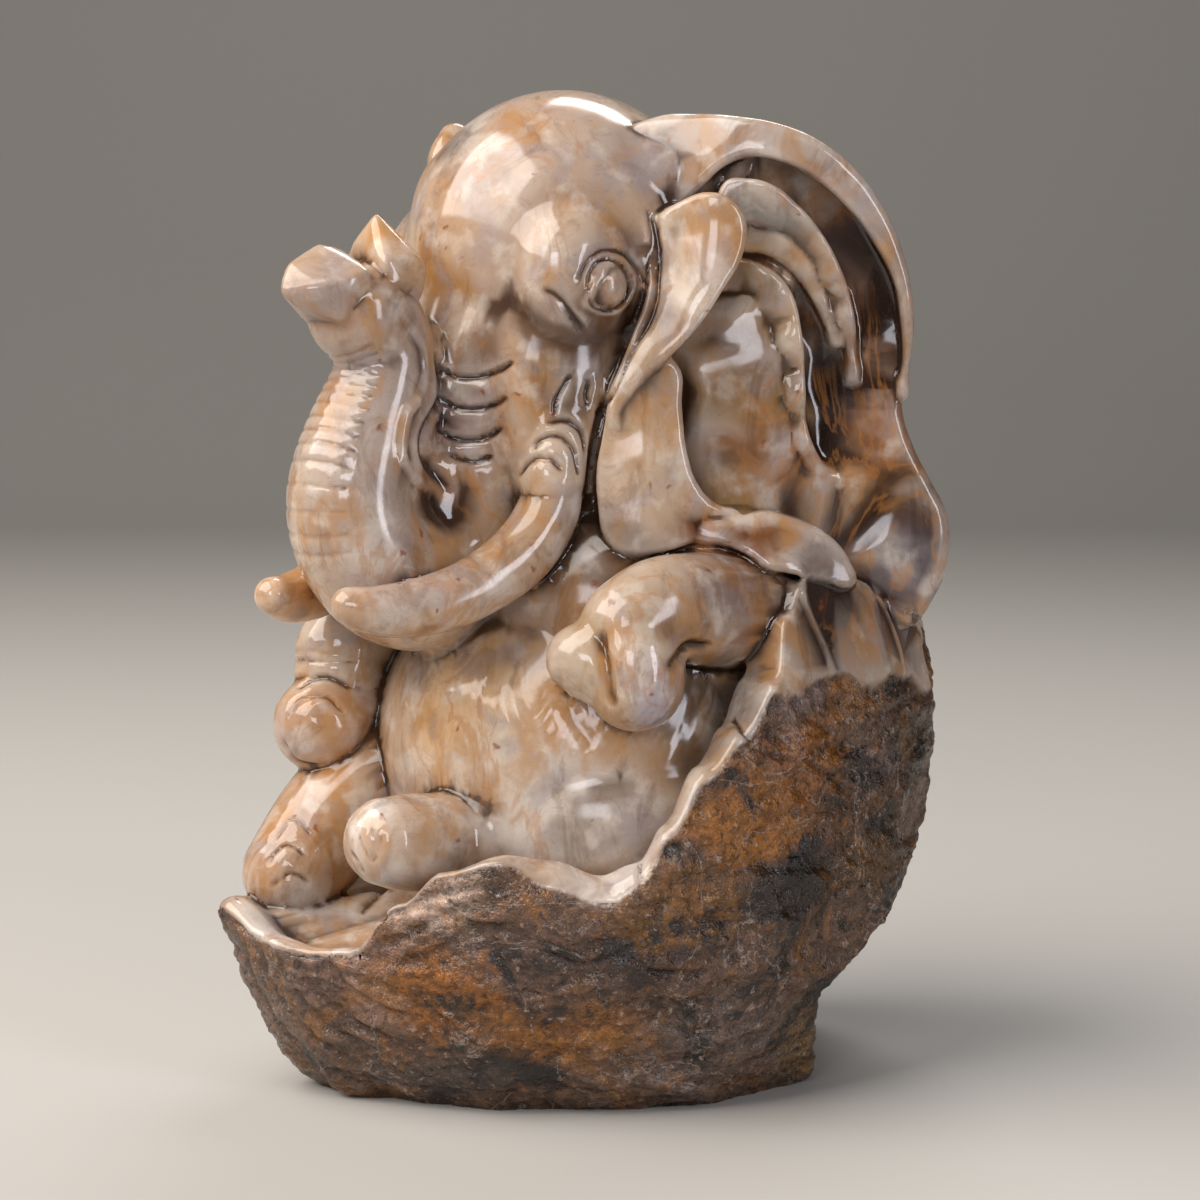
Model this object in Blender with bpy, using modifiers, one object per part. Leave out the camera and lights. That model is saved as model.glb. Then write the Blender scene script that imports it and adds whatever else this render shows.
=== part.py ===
"""A chalcedony carving: an elephant seated in the split boulder that it was carved from.

The whole work is one solid stone. The elephant looks about fifty degrees to the
carving's right, curls its trunk up in front of its forehead and rests its hands on
its belly. The lower half is the boulder, left rough outside, with a polished rim.

Frame: metres, +Z up, the origin in the flat underside, -Y towards the viewer of the
carving's display side. The free forms are rows of millimetres at a height of 180 mm,
and they all follow CARVING_HEIGHT.
"""

import math

import bmesh
import bpy
import numpy as np
from mathutils import Matrix, Vector, noise

CARVING_HEIGHT = 0.180
DRAWN_HEIGHT_MM = 180.0
UNIT = CARVING_HEIGHT / DRAWN_HEIGHT_MM

HEAD_YAW = math.radians(50.0)
HEAD_CENTRE_MM = (-4.5, 0.0)
BODY_YAW = math.radians(46.0)
BODY_CENTRE_MM = (7.0, 1.0)

CARVING_VOXEL = 1.25 * UNIT
BLEND_VOXEL = 1.5 * UNIT
BLEND_ROUNDS = 10
# Where a limb's rounded end has its rings, and the steps between two points of an outline.
DOME_DEGREES = (70, 45, 22)
OUTLINE_STEPS = 4
SOLID_TRIANGLES = 9400

STONE_COLOUR = (0.56, 0.43, 0.31, 1.0)
STONE_ROUGHNESS = 0.15

# The trunk, from the forehead down, round the low bend and up to its two-lipped tip:
# forward, side, height, fore-and-aft radius, sideways radius.
TRUNK = (
    (3, 0, 153, 20, 20),
    (10, 0, 143, 18, 18.5),
    (16, 0, 131, 16, 16.5),
    (18, 0, 119, 14, 15),
    (19, 0, 108, 13.5, 14.5),
    (22.5, 0, 98.5, 13.5, 14),
    (30, 0, 93, 13.5, 13.5),
    (38.5, 0, 94, 13, 13.5),
    (45, 0, 100, 12.2, 12.8),
    (47, 0, 108, 12, 12),
    (44.2, 0, 117, 11.5, 11.5),
    (40.5, 0, 126, 10.2, 10.2),
    (39.3, 0, 132.5, 9, 9),
    (42.5, 0, 139, 9.2, 9.2),
    (46, 0, 143, 8.8, 8.8),
)
# Lips of the trunk's tip: the front one points forward, the rear one up.
FRONT_LIP = (
    (47, 0, 141, 8.4, 8.4),
    (52.6, 0, 144.4, 7.4, 8.2),
    (58, 0, 145.4, 5, 6),
    (62, 0, 144.4, 2.4, 3.2),
)
REAR_LIP = (
    (43, 0, 141, 8, 8.8),
    (41.4, 0, 147.6, 6.6, 8.4),
    (41, 0, 152.6, 4.4, 6),
    (41.6, 0, 157.2, 1.6, 2.2),
)

# A tusk out of its lip fold: forward, side, height, radius.
TUSK = (
    (12, 18.5, 123, 4.6),
    (17.5, 20, 114.5, 5.1),
    (19.2, 20.6, 106, 5.6),
    (25.3, 20.6, 98.3, 5.8),
    (35, 19.4, 92.6, 5.5),
    (44, 17, 89.8, 5.2),
    (51.6, 14, 89.2, 4.6),
    (57, 11.4, 90.3, 3.4),
)
TUSK_FOLD = ((12, 17, 127, 6), (15.3, 18.8, 121, 6.3), (17.6, 20, 115.5, 6.2), (18.9, 20.6, 110, 6))

# The head's rounded masses: forward, side, height, then their three radii.
CRANIUM = (-1, 0, 150, 30, 28, 30.5)
NAPE = (-16, 0, 134, 26, 25, 40)
FRONTAL_BUMP = (9.5, 8.5, 157, 15, 14, 16)
CHEEK = (8, 12.5, 127, 18.5, 13.5, 29)
BROW = (12, 19.5, 147, 12, 9, 14)
JAW = (12, 0, 97, 18, 13, 12)
TRUNK_WEB = (31, 0, 106, 9, 7, 13)

# The eye: the ball, then the lids as a ring round it, of this reach and thickness.
EYE = (11, 26, 145, 4.2, 4, 4.4)
EYE_LIDS = (11, 27.6, 145)
EYE_LIDS_REACH_MM = 5.8
EYE_LIDS_RADIUS_MM = 1.4

# Masses of the body in its own frame: forward, side, height, then their three radii.
BELLY = (6, -2, 60, 40, 41, 38)
LOW_BELLY = (10, 6, 50, 34, 36, 23)
CHEST = (6, 0, 86, 30, 32, 26)
BACK = (-16, 0, 96, 24, 34, 44)
SHOULDER = (-2, 27, 88, 19, 14, 17)

# Limbs in the carving's frame: x, y, z, radius.
NEAR_ARM = (
    (40, -16, 86, 9), (32, -22, 87, 10), (25, -28, 87.5, 10.4), (18.5, -34, 88.5, 10),
    (13, -38.5, 88.8, 9.2), (8, -41.5, 86.5, 8.6),
)
NEAR_HAND = ((8.2, -42, 85, 8.2), (9, -43.5, 80.5, 8.8), (9.2, -44, 76.8, 8.8))
NEAR_THUMB = ((9, -43, 78.5, 7.8), (4, -43.2, 79.2, 7.2), (0, -43, 80.6, 6.6))
FAR_ARM = ((-31, 8, 86, 9), (-38, 2, 82.5, 9), (-44.5, -3, 78, 8.8), (-45.2, -4, 72, 8.4))
FAR_FIST = ((-42, 1, 70, 8.6), (-45.5, -4.5, 67, 9), (-48.4, -9, 64.4, 8.9))
NEAR_LEG = (
    (-8, -18, 44, 11), (-17, -26, 45.5, 10), (-26, -34, 46.8, 9), (-31.5, -39, 47.8, 8.6),
    (-34, -41.6, 48.4, 8),
)
FAR_LEG = (
    (-22, 4, 56, 16), (-36, -3, 53, 13.5), (-45, -9, 48, 11), (-50, -13.5, 42, 10.2),
    (-53, -17, 38.5, 9.4),
)

# The near ear's outline in the plane of the display side: x, z.
EAR_OUTLINE = (
    (8, 168), (19, 174.6), (29, 174.8), (38, 172.2), (46.5, 166.8), (52.6, 160),
    (57, 152.5), (59.6, 144), (59.8, 135), (58.2, 128), (57.9, 122), (59.8, 116),
    (63, 109.6), (66, 103.6), (66.2, 95), (64, 88.5), (59, 83), (52, 86),
    (44, 92), (34, 98), (20, 100), (10, 104), (6, 116), (4, 134), (4, 152),
)
EAR_THICKNESS = 9.0 * UNIT
EAR_EDGE_RADIUS = 2.2 * UNIT
EAR_PLANE_MM = -12.0
EAR_HOLLOW_MM = 4.5
EAR_HOLLOW_CENTRE_MM = (36, 132)
EAR_HOLLOW_REACH_MM = 30.0
# The ear's rolled top rim: x, y, z, radius.
EAR_RIM = (
    (8, -10, 168, 8), (20, -14, 168.5, 6.6), (31, -16, 168.6, 5.4), (41, -17, 165.6, 4.6),
    (49, -17.5, 158.6, 4), (54, -17, 149.8, 3.4), (56.2, -15.5, 140.5, 3), (56.4, -14, 131, 2.6),
    (55.5, -11, 124, 2),
)
# The root of the ear, from the crown to the front fold: x, y, z, radius.
EAR_ROOT = ((4, -6, 166, 9), (14, -12, 163, 8), (19, -16, 158, 6.5))
# Ridges inside the ear: x, y, z, radius.
EAR_RIDGES = (
    (
        (24, -13, 160, 3), (31, -13.5, 161.5, 2.6), (38, -13, 158.5, 2.3), (44, -12.5, 151, 2.2),
        (47.6, -12.5, 140.5, 2.1), (48.8, -12.5, 128, 1.6),
    ),
    (
        (28, -12.5, 150, 2.4), (34, -12, 145.8, 2.3), (38.8, -12, 136.8, 2.2), (40.4, -12.5, 124.5, 2.1),
        (45.6, -13.5, 112, 1.7),
    ),
)
# The ear's front fold hangs over the hollow: x, y, z, radius through, radius across.
EAR_FLAP = (
    (20, -17, 158, 5, 5),
    (20.9, -20.5, 153.5, 6, 7.4),
    (19.4, -23, 147, 6, 7.6),
    (16.2, -25, 140, 6, 6.6),
    (11.8, -27, 133, 5.4, 5),
    (7, -28.4, 125.8, 4.6, 3.4),
    (3.6, -29, 119, 3.4, 1.8),
)
# The ear's lower front lobe: the same columns.
EAR_LOBE = (
    (14, -20, 131, 5, 5),
    (12.6, -22.6, 125, 6.4, 7.4),
    (10.8, -24.2, 117, 7, 9.2),
    (10.8, -24.4, 109.5, 7.2, 9.8),
    (12, -24, 103.5, 6.6, 8.4),
    (13.4, -23.6, 100.5, 4.6, 6),
)
# The fold over the near arm's shoulder: x, y, z, radius.
SHOULDER_FOLD = (
    (10, -25, 99, 4), (20, -27.5, 101, 4), (28, -28, 99.4, 3.8), (34, -28, 93.4, 3.4), (36.4, -28.5, 86, 2.8),
)
# The far ear lies back along the head: forward, side, height, radius through, across.
FAR_EAR = (
    (4, -22, 167, 5, 6),
    (-5, -26, 160, 6, 14),
    (-12, -29, 147, 6.5, 20),
    (-16, -30.5, 132, 6.5, 21),
    (-18, -31.5, 117, 6, 16),
    (-17, -31.5, 105, 5, 8),
)
FAR_EAR_TIP = ((6, -22, 166, 4, 4), (5, -25, 171, 3.4, 4.4), (1, -27, 174.5, 2.6, 4))

# The boulder seen from above: angle in degrees, radius at its widest.
BOULDER_PLAN = (
    (0, 67), (18, 66), (38, 62), (60, 57), (90, 52), (120, 51), (150, 48), (172, 50),
    (190, 60), (204, 71), (214, 69), (226, 62), (244, 57), (262, 54), (280, 54.5),
    (300, 55), (318, 56), (338, 61),
)
# Where the boulder's rim runs: angle in degrees, height.
BOULDER_RIM = (
    (0, 83), (14, 85), (34, 91), (60, 97), (90, 92), (120, 74), (150, 52), (172, 38),
    (190, 31.5), (204, 36), (213, 31), (221, 29.3), (228, 30), (236, 38.5), (244, 44.5),
    (255, 47.6), (264, 46.2), (274, 43.6), (281, 46), (286, 53), (293, 62.5), (301, 69),
    (309, 77), (315, 88), (321, 94), (334, 93.5), (348, 86.5),
)
# How far in the rim's top runs before it drops to the seat: angle, share of the radius.
BOULDER_LEDGE = (
    (0, 0.45), (60, 0.5), (110, 0.75), (150, 0.88), (200, 0.93), (240, 0.92), (285, 0.9), (310, 0.8),
    (335, 0.5),
)
# The boulder's flare: height, share of the way from the foot's radius to the widest.
BOULDER_FLARE = ((0, 0.0), (2, 0.2), (6, 0.45), (14, 0.7), (25, 0.9), (36, 1.0), (60, 1.0), (100, 0.93))
FOOT_SHARE = 0.74
# The right end is cut back to an upright foot: height, furthest x.
FOOT_CUT = ((0, 42.5), (18.5, 43.5), (25, 50), (34, 56.8), (43, 62.6), (60, 66.2), (75, 64.5), (100, 61))
SEAT_HEIGHT_MM = 38.0
SEAT_DROP_MM = 3.0
RIND_LUMP_MM = 1.6
RIND_LUMP_SCALE_MM = 26.0

ROUND_SIDES = 20
STEPS_BETWEEN_ROWS = 5


def smooth_rows(rows, steps=STEPS_BETWEEN_ROWS):
    """Reads rows of control values as one smooth curve through all of them."""
    points = np.array(rows, float)
    ends = np.vstack([2 * points[0] - points[1], points, 2 * points[-1] - points[-2]])
    samples = []
    for i in range(1, len(ends) - 2):
        before, here, there, after = ends[i - 1 : i + 3]
        for t in np.linspace(0, 1, steps, endpoint=False):
            samples.append(
                0.5 * (2 * here + (there - before) * t
                       + (2 * before - 5 * here + 4 * there - after) * t**2
                       + (3 * here - before - 3 * there + after) * t**3)
            )
    samples.append(points[-1])
    return np.array(samples)


def ring_values(rows, degrees):
    """Reads (angle, value) rows as a smooth closed function of the angle."""
    table = np.array(rows, float)
    angles = np.concatenate([table[-2:, 0] - 360, table[:, 0], table[:2, 0] + 360])
    values = np.concatenate([table[-2:, 1], table[:, 1], table[:2, 1]])
    degrees = np.mod(degrees, 360)
    low = np.clip(np.searchsorted(angles, degrees, side="right") - 1, 0, len(angles) - 2)
    share = (degrees - angles[low]) / (angles[low + 1] - angles[low])
    return values[low] + (values[low + 1] - values[low]) * (1 - np.cos(math.pi * share)) / 2


def turned(rows, yaw, centre):
    """Rows of forward, side and height, turned into the carving's x, y and z."""
    rows = np.array(rows, float)
    forward, side = rows[:, 0].copy(), rows[:, 1].copy()
    rows[:, 0] = centre[0] - math.sin(yaw) * forward + math.cos(yaw) * side
    rows[:, 1] = centre[1] - math.cos(yaw) * forward - math.sin(yaw) * side
    return rows


def head_rows(rows):
    return turned(rows, HEAD_YAW, HEAD_CENTRE_MM)


def mirrored(rows):
    """The same rows on the other side of the head or body."""
    rows = np.array(rows, float)
    rows[:, 1] *= -1
    return rows


def new_mesh(name, bm):
    """A mesh from a bmesh drawn in millimetres, at the carving's real size."""
    bmesh.ops.recalc_face_normals(bm, faces=bm.faces)
    bmesh.ops.scale(bm, vec=(UNIT, UNIT, UNIT), verts=bm.verts)
    mesh = bpy.data.meshes.new(name)
    bm.to_mesh(mesh)
    bm.free()
    return mesh


def loft(name, rows, across):
    """A limb through rows of x, y, z, radius through and radius across, with round ends.

    The second radius lies along the direction called across, the first square to it.
    """
    rows = smooth_rows(rows)
    path, through, wide = rows[:, :3], rows[:, 3], rows[:, 4]
    along = np.gradient(path, axis=0)
    along /= np.linalg.norm(along, axis=1)[:, None]
    bm = bmesh.new()
    rings = []

    def add_ring(i, share, shift):
        first = np.cross(across, along[i])
        first /= np.linalg.norm(first)
        second = np.cross(along[i], first)
        centre = path[i] + along[i] * shift
        angles = np.linspace(0, 2 * math.pi, ROUND_SIDES, endpoint=False)
        first_radius = share * through[i] * first
        second_radius = share * wide[i] * second
        rings.append([
            bm.verts.new(centre + first_radius * math.cos(a) + second_radius * math.sin(a)) for a in angles
        ])

    dome = [math.radians(a) for a in DOME_DEGREES]
    last = len(path) - 1
    for a in dome:
        add_ring(0, math.cos(a), -min(through[0], wide[0]) * math.sin(a))
    for i in range(len(path)):
        add_ring(i, 1.0, 0.0)
    for a in reversed(dome):
        add_ring(last, math.cos(a), min(through[last], wide[last]) * math.sin(a))
    for low, high in zip(rings, rings[1:]):
        for k in range(ROUND_SIDES):
            after = (k + 1) % ROUND_SIDES
            bm.faces.new((low[k], low[after], high[after], high[k]))
    bm.faces.new(rings[0])
    bm.faces.new(rings[-1])
    return new_mesh(name, bm)


def round_limb(name, rows):
    """A limb of round section, through rows of x, y, z and radius."""
    rows = np.array(rows, float)
    return loft(name, np.column_stack([rows, rows[:, 3]]), np.array((0.0, 0.2, 1.0)))


def mass(name, row, yaw, centre):
    """A rounded mass: forward, side, height and three radii, turned with its yaw."""
    place = turned([row[:3]], yaw, centre)[0]
    bm = bmesh.new()
    bmesh.ops.create_uvsphere(bm, u_segments=32, v_segments=20, radius=1.0)
    turn = Matrix.Rotation(-yaw, 4, "Z") @ Matrix.Diagonal((row[4], row[3], row[5], 1.0))
    bmesh.ops.transform(bm, matrix=Matrix.Translation(place) @ turn, verts=bm.verts)
    return new_mesh(name, bm)


def joined(name, meshes):
    """One object that holds all the meshes, which may overlap."""
    bm = bmesh.new()
    for mesh in meshes:
        bm.from_mesh(mesh)
        bpy.data.meshes.remove(mesh)
    whole = bpy.data.meshes.new(name)
    bm.to_mesh(whole)
    bm.free()
    obj = bpy.data.objects.new(name, whole)
    bpy.context.scene.collection.objects.link(obj)
    return obj


def finished_mesh(obj):
    """The object's mesh with its modifiers applied. The object is removed."""
    graph = bpy.context.evaluated_depsgraph_get()
    mesh = bpy.data.meshes.new_from_object(obj.evaluated_get(graph))
    bpy.data.objects.remove(obj)
    return mesh


def add_skin(obj, voxel, rounds):
    """One closed skin round all that overlaps, softened where the forms meet."""
    remesh = obj.modifiers.new("one skin", "REMESH")
    remesh.mode = "VOXEL"
    remesh.voxel_size = voxel
    if rounds:
        soften = obj.modifiers.new("softened joints", "SMOOTH")
        soften.factor = 0.5
        soften.iterations = round(rounds)


def blended(name, meshes, rounds):
    """Masses that flow into each other, as one mesh."""
    obj = joined(name, meshes)
    add_skin(obj, BLEND_VOXEL, rounds)
    return finished_mesh(obj)


def on_both_sides(row):
    return (row, mirrored([row])[0])


def head():
    """Skull, cheeks, jaw and trunk."""
    across = np.array((math.cos(HEAD_YAW), -math.sin(HEAD_YAW), 0.0))
    rows = [CRANIUM, NAPE, JAW, TRUNK_WEB]
    for row in (FRONTAL_BUMP, CHEEK, BROW):
        rows.extend(on_both_sides(row))
    forms = [mass("head mass", row, HEAD_YAW, HEAD_CENTRE_MM) for row in rows]
    forms.append(loft("trunk", head_rows(TRUNK), across))
    forms.extend(round_limb("tusk fold", head_rows(side(TUSK_FOLD))) for side in (np.array, mirrored))
    return forms


def eyes():
    """Both eyes, each a ball in a ring of lids."""
    angles = np.linspace(0, 2 * math.pi, 13)
    ring = np.column_stack([
        EYE_LIDS[0] + EYE_LIDS_REACH_MM * np.cos(angles),
        np.full(len(angles), float(EYE_LIDS[1])),
        EYE_LIDS[2] + EYE_LIDS_REACH_MM * np.sin(angles),
        np.full(len(angles), EYE_LIDS_RADIUS_MM),
    ])
    forms = [mass("eye", row, HEAD_YAW, HEAD_CENTRE_MM) for row in on_both_sides(EYE)]
    return forms + [round_limb("eye lids", head_rows(side(ring))) for side in (np.array, mirrored)]


def trunk_lips():
    across = np.array((math.cos(HEAD_YAW), -math.sin(HEAD_YAW), 0.0))
    return [loft("lip", head_rows(rows), across) for rows in (FRONT_LIP, REAR_LIP)]


def tusks():
    return [round_limb("tusk", head_rows(side(TUSK))) for side in (np.array, mirrored)]


def near_ear():
    """The broad near ear: a hollowed fan with a rolled rim and two front folds."""
    curve = bpy.data.curves.new("ear outline", "CURVE")
    curve.dimensions = "2D"
    curve.fill_mode = "BOTH"
    curve.extrude = EAR_THICKNESS / 2 - EAR_EDGE_RADIUS
    curve.bevel_depth = EAR_EDGE_RADIUS
    curve.offset = -EAR_EDGE_RADIUS
    spline = curve.splines.new("BEZIER")
    spline.bezier_points.add(len(EAR_OUTLINE) - 1)
    spline.use_cyclic_u = True
    spline.resolution_u = OUTLINE_STEPS
    for point, (x, z) in zip(spline.bezier_points, EAR_OUTLINE):
        point.co = (x * UNIT, z * UNIT, 0)
        point.handle_left_type = point.handle_right_type = "AUTO"
    outline = bpy.data.objects.new("ear outline", curve)
    bpy.context.scene.collection.objects.link(outline)
    flat = joined("ear", [finished_mesh(outline)])
    add_skin(flat, CARVING_VOXEL, 2)
    fan = finished_mesh(flat)
    for vertex in fan.vertices:
        x, z, y = vertex.co
        off_centre = math.hypot(x / UNIT - EAR_HOLLOW_CENTRE_MM[0], z / UNIT - EAR_HOLLOW_CENTRE_MM[1])
        hollow = EAR_HOLLOW_MM * math.exp(-((off_centre / EAR_HOLLOW_REACH_MM) ** 2))
        vertex.co = Vector((x, (EAR_PLANE_MM + hollow) * UNIT - y, z))
    across = np.array((0.82, 0.0, 0.57))
    return [
        fan,
        round_limb("ear rim", EAR_RIM),
        round_limb("ear root", EAR_ROOT),
        loft("ear flap", EAR_FLAP, across),
        loft("ear lobe", EAR_LOBE, np.array((1.0, 0.0, 0.0))),
    ] + [round_limb("ear ridge", rows) for rows in EAR_RIDGES]


def far_ear():
    """The far ear, folded back along the head."""
    back = np.array((math.sin(HEAD_YAW), math.cos(HEAD_YAW), 0.0))
    return [loft("far ear", head_rows(rows), back) for rows in (FAR_EAR, FAR_EAR_TIP)]


def body():
    """Belly, chest, back and shoulders."""
    rows = [BELLY, LOW_BELLY, CHEST, BACK, *on_both_sides(SHOULDER)]
    return [mass("torso", row, BODY_YAW, BODY_CENTRE_MM) for row in rows]


def limbs():
    rows = (NEAR_ARM, NEAR_HAND, NEAR_THUMB, FAR_ARM, FAR_FIST, NEAR_LEG, FAR_LEG, SHOULDER_FOLD)
    return [round_limb("limb", row) for row in rows]


def boulder():
    """The boulder: a flared wall up to the rim, a ledge in from it and a seat."""
    around = np.arange(0, 360, 3.0)
    widest = ring_values(BOULDER_PLAN, around)
    rim = ring_values(BOULDER_RIM, around)
    ledge = ring_values(BOULDER_LEDGE, around)
    flare = np.array(BOULDER_FLARE, float)
    cut = np.array(FOOT_CUT, float)
    cosine, sine = np.cos(np.radians(around)), np.sin(np.radians(around))
    bm = bmesh.new()
    rings = []

    def add_ring(radius, height):
        x = radius * cosine
        limit = np.interp(height, cut[:, 0], cut[:, 1])
        x = np.where(x > limit, limit, x)
        points = np.column_stack([x, radius * sine, height])
        rings.append([bm.verts.new(p) for p in points])

    def wall_radius(height):
        share = np.interp(height, flare[:, 0], flare[:, 1])
        return widest * (FOOT_SHARE + (1 - FOOT_SHARE) * share)

    base = np.full(len(around), -4.0)
    for share in np.linspace(0, 1, 22):
        height = base + (rim - base) * share
        add_ring(wall_radius(height), height)
    top = wall_radius(rim)
    add_ring(top * ledge, rim + 0.0)
    seat = np.minimum(rim - SEAT_DROP_MM, SEAT_HEIGHT_MM + 0.35 * (rim - SEAT_HEIGHT_MM))
    add_ring(top * ledge * 0.93, seat)
    add_ring(top * ledge * 0.5, seat * 0.5 + SEAT_HEIGHT_MM * 0.5)
    for low, high in zip(rings, rings[1:]):
        for k in range(len(around)):
            after = (k + 1) % len(around)
            bm.faces.new((low[k], low[after], high[after], high[k]))
    bm.faces.new(rings[0])
    bm.faces.new(rings[-1])
    mesh = new_mesh("boulder", bm)
    rough = joined("boulder", [mesh])
    add_skin(rough, CARVING_VOXEL, 2)
    mesh = finished_mesh(rough)
    mesh.update()
    normals = [v.normal.copy() for v in mesh.vertices]
    for vertex, normal in zip(mesh.vertices, normals):
        place = vertex.co / (UNIT * RIND_LUMP_SCALE_MM)
        vertex.co += normal * noise.fractal(place, 0.9, 2.1, 3) * RIND_LUMP_MM * UNIT
    return mesh


def underside_cutter():
    """A block below the ground plane, which cuts the underside flat."""
    size = 3 * CARVING_HEIGHT
    bm = bmesh.new()
    bmesh.ops.create_cube(bm, size=1.0)
    place = Matrix.Translation((0, 0, -size / 2)) @ Matrix.Diagonal((size, size, size, 1.0))
    bmesh.ops.transform(bm, matrix=place, verts=bm.verts)
    mesh = bpy.data.meshes.new("underside cutter")
    bm.to_mesh(mesh)
    bm.free()
    cutter = bpy.data.objects.new("underside_cutter", mesh)
    cutter.hide_render = True
    cutter.display_type = "WIRE"
    return cutter


def stone_material():
    material = bpy.data.materials.new("polished chalcedony")
    material.use_nodes = True
    shader = material.node_tree.nodes["Principled BSDF"]
    shader.inputs["Base Color"].default_value = STONE_COLOUR
    shader.inputs["Roughness"].default_value = STONE_ROUGHNESS
    shader.inputs["Metallic"].default_value = 0.0
    return material


def main():
    for obj in list(bpy.data.objects):
        bpy.data.objects.remove(obj)
    parts = bpy.data.collections.new("chalcedony elephant carving")
    cutters = bpy.data.collections.new("cutters")
    for collection in (parts, cutters):
        bpy.context.scene.collection.children.link(collection)

    forms = [blended("head and body", head() + body(), BLEND_ROUNDS), boulder()]
    forms += trunk_lips() + tusks() + eyes() + near_ear() + far_ear() + limbs()
    skin = joined("elephant_carving", forms)
    add_skin(skin, CARVING_VOXEL, 2)
    fine = finished_mesh(skin)

    carving = bpy.data.objects.new("elephant_carving", fine)
    parts.objects.link(carving)
    facets = sum(len(face.vertices) - 2 for face in fine.polygons)
    thin = carving.modifiers.new("fewer facets", "DECIMATE")
    thin.ratio = min(1.0, SOLID_TRIANGLES / facets)
    cutter = underside_cutter()
    cutters.objects.link(cutter)
    flat = carving.modifiers.new("flat underside", "BOOLEAN")
    flat.operation = "DIFFERENCE"
    flat.object = cutter
    fine.materials.append(stone_material())
    fine.shade_smooth()


main()
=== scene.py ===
"""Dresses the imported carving: one chalcedony boulder, cut and polished into a seated elephant.

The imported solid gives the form, and one finely modelled stone takes its place. The
elephant's masses flow into each other, its folds and limbs are laid over them, lines are
cut into the skin along paths and the boulder keeps its rough rind. Free forms are rows of
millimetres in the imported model's frame: +X to the viewer's right, -Y to the viewer, +Z up.
"""

import logging
import math
from dataclasses import dataclass
from enum import Enum
from typing import Any, Callable, Iterable, Sequence

import bmesh
import bpy
import numpy as np
from bpy.types import Material, Mesh, Modifier, Node, NodeTree, Object
from mathutils import Matrix, Vector, noise
from mathutils.bvhtree import BVHTree


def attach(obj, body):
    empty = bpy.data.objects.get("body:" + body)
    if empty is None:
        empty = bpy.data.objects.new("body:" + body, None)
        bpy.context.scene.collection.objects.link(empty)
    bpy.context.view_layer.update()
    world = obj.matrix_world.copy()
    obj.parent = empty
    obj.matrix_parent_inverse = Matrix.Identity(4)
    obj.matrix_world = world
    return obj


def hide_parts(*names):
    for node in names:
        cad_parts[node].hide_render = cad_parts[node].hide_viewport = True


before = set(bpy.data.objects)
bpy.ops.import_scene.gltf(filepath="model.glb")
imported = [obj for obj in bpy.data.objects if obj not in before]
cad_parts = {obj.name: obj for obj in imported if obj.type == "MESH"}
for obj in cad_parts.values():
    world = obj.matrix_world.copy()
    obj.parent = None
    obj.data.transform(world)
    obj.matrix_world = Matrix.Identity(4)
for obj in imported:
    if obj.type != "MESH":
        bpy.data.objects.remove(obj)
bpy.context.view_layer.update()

LOG = logging.getLogger("elephant carving")

MM = 0.001
NODE_NAME = "elephant_carving"
# Blender seeds its vector noise by the clock, so the clouds have a seed of their own.
CLOUD_SEED = 7

Row = Sequence[float]
Rows = Sequence[Row]


class Section(Enum):
    """The cut end of a limb or fold: round, or a lens with crisper edges."""

    ROUND = 0.0
    SOFT_LENS = 0.45


class Target(Enum):
    """What a distance is measured to: a mesh's edges or its faces."""

    EDGES = "EDGES"
    FACES = "FACES"


@dataclass(frozen=True)
class Fineness:
    """How finely the stone is skinned.

    Attributes:
        skin: Voxel of the finished skin, in millimetres.
        blend: Voxel of the softly blended masses, in millimetres.
        leaf: Voxel of thin leaves, in millimetres.
        triangles: Most triangles that the finished stone keeps.
    """

    skin: float
    blend: float
    leaf: float
    triangles: int


FINE = Fineness(skin=0.48, blend=0.9, leaf=0.5, triangles=197000)


@dataclass(frozen=True)
class Turn:
    """A frame that looks to one side, as the head and the body do.

    Attributes:
        yaw: Degrees from the display side's own direction to the viewer's left.
        x: Where its upright axis stands, in millimetres.
        y: The same, in depth.
    """

    yaw: float
    x: float
    y: float

    def place(self, rows: Rows) -> np.ndarray:
        """Turns rows of forward, side and height into rows of x, y and z.

        Args:
            rows: The rows, in millimetres. Columns past the third are kept.

        Returns:
            The same rows in the carving's frame.
        """
        placed = np.array(rows, float)
        forward, side = placed[:, 0].copy(), placed[:, 1].copy()
        yaw = math.radians(self.yaw)
        placed[:, 0] = self.x - math.sin(yaw) * forward + math.cos(yaw) * side
        placed[:, 1] = self.y - math.cos(yaw) * forward - math.sin(yaw) * side
        return placed

    def side(self) -> np.ndarray:
        """The direction to the near side."""
        yaw = math.radians(self.yaw)
        return np.array((math.cos(yaw), -math.sin(yaw), 0.0))

    def forward(self) -> np.ndarray:
        """The direction in which it looks."""
        yaw = math.radians(self.yaw)
        return np.array((-math.sin(yaw), -math.cos(yaw), 0.0))


HEAD_TURN = Turn(yaw=50.0, x=-4.5, y=0.0)
BODY_TURN = Turn(yaw=46.0, x=7.0, y=1.0)


def mirrored(rows: Rows) -> np.ndarray:
    """The same rows of forward, side and height on the other side."""
    other = np.array(rows, float)
    other[:, 1] *= -1
    return other


def on_both_sides(rows: Rows) -> tuple[np.ndarray, np.ndarray]:
    """The rows as they are, and mirrored."""
    return np.array(rows, float), mirrored(rows)


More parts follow.
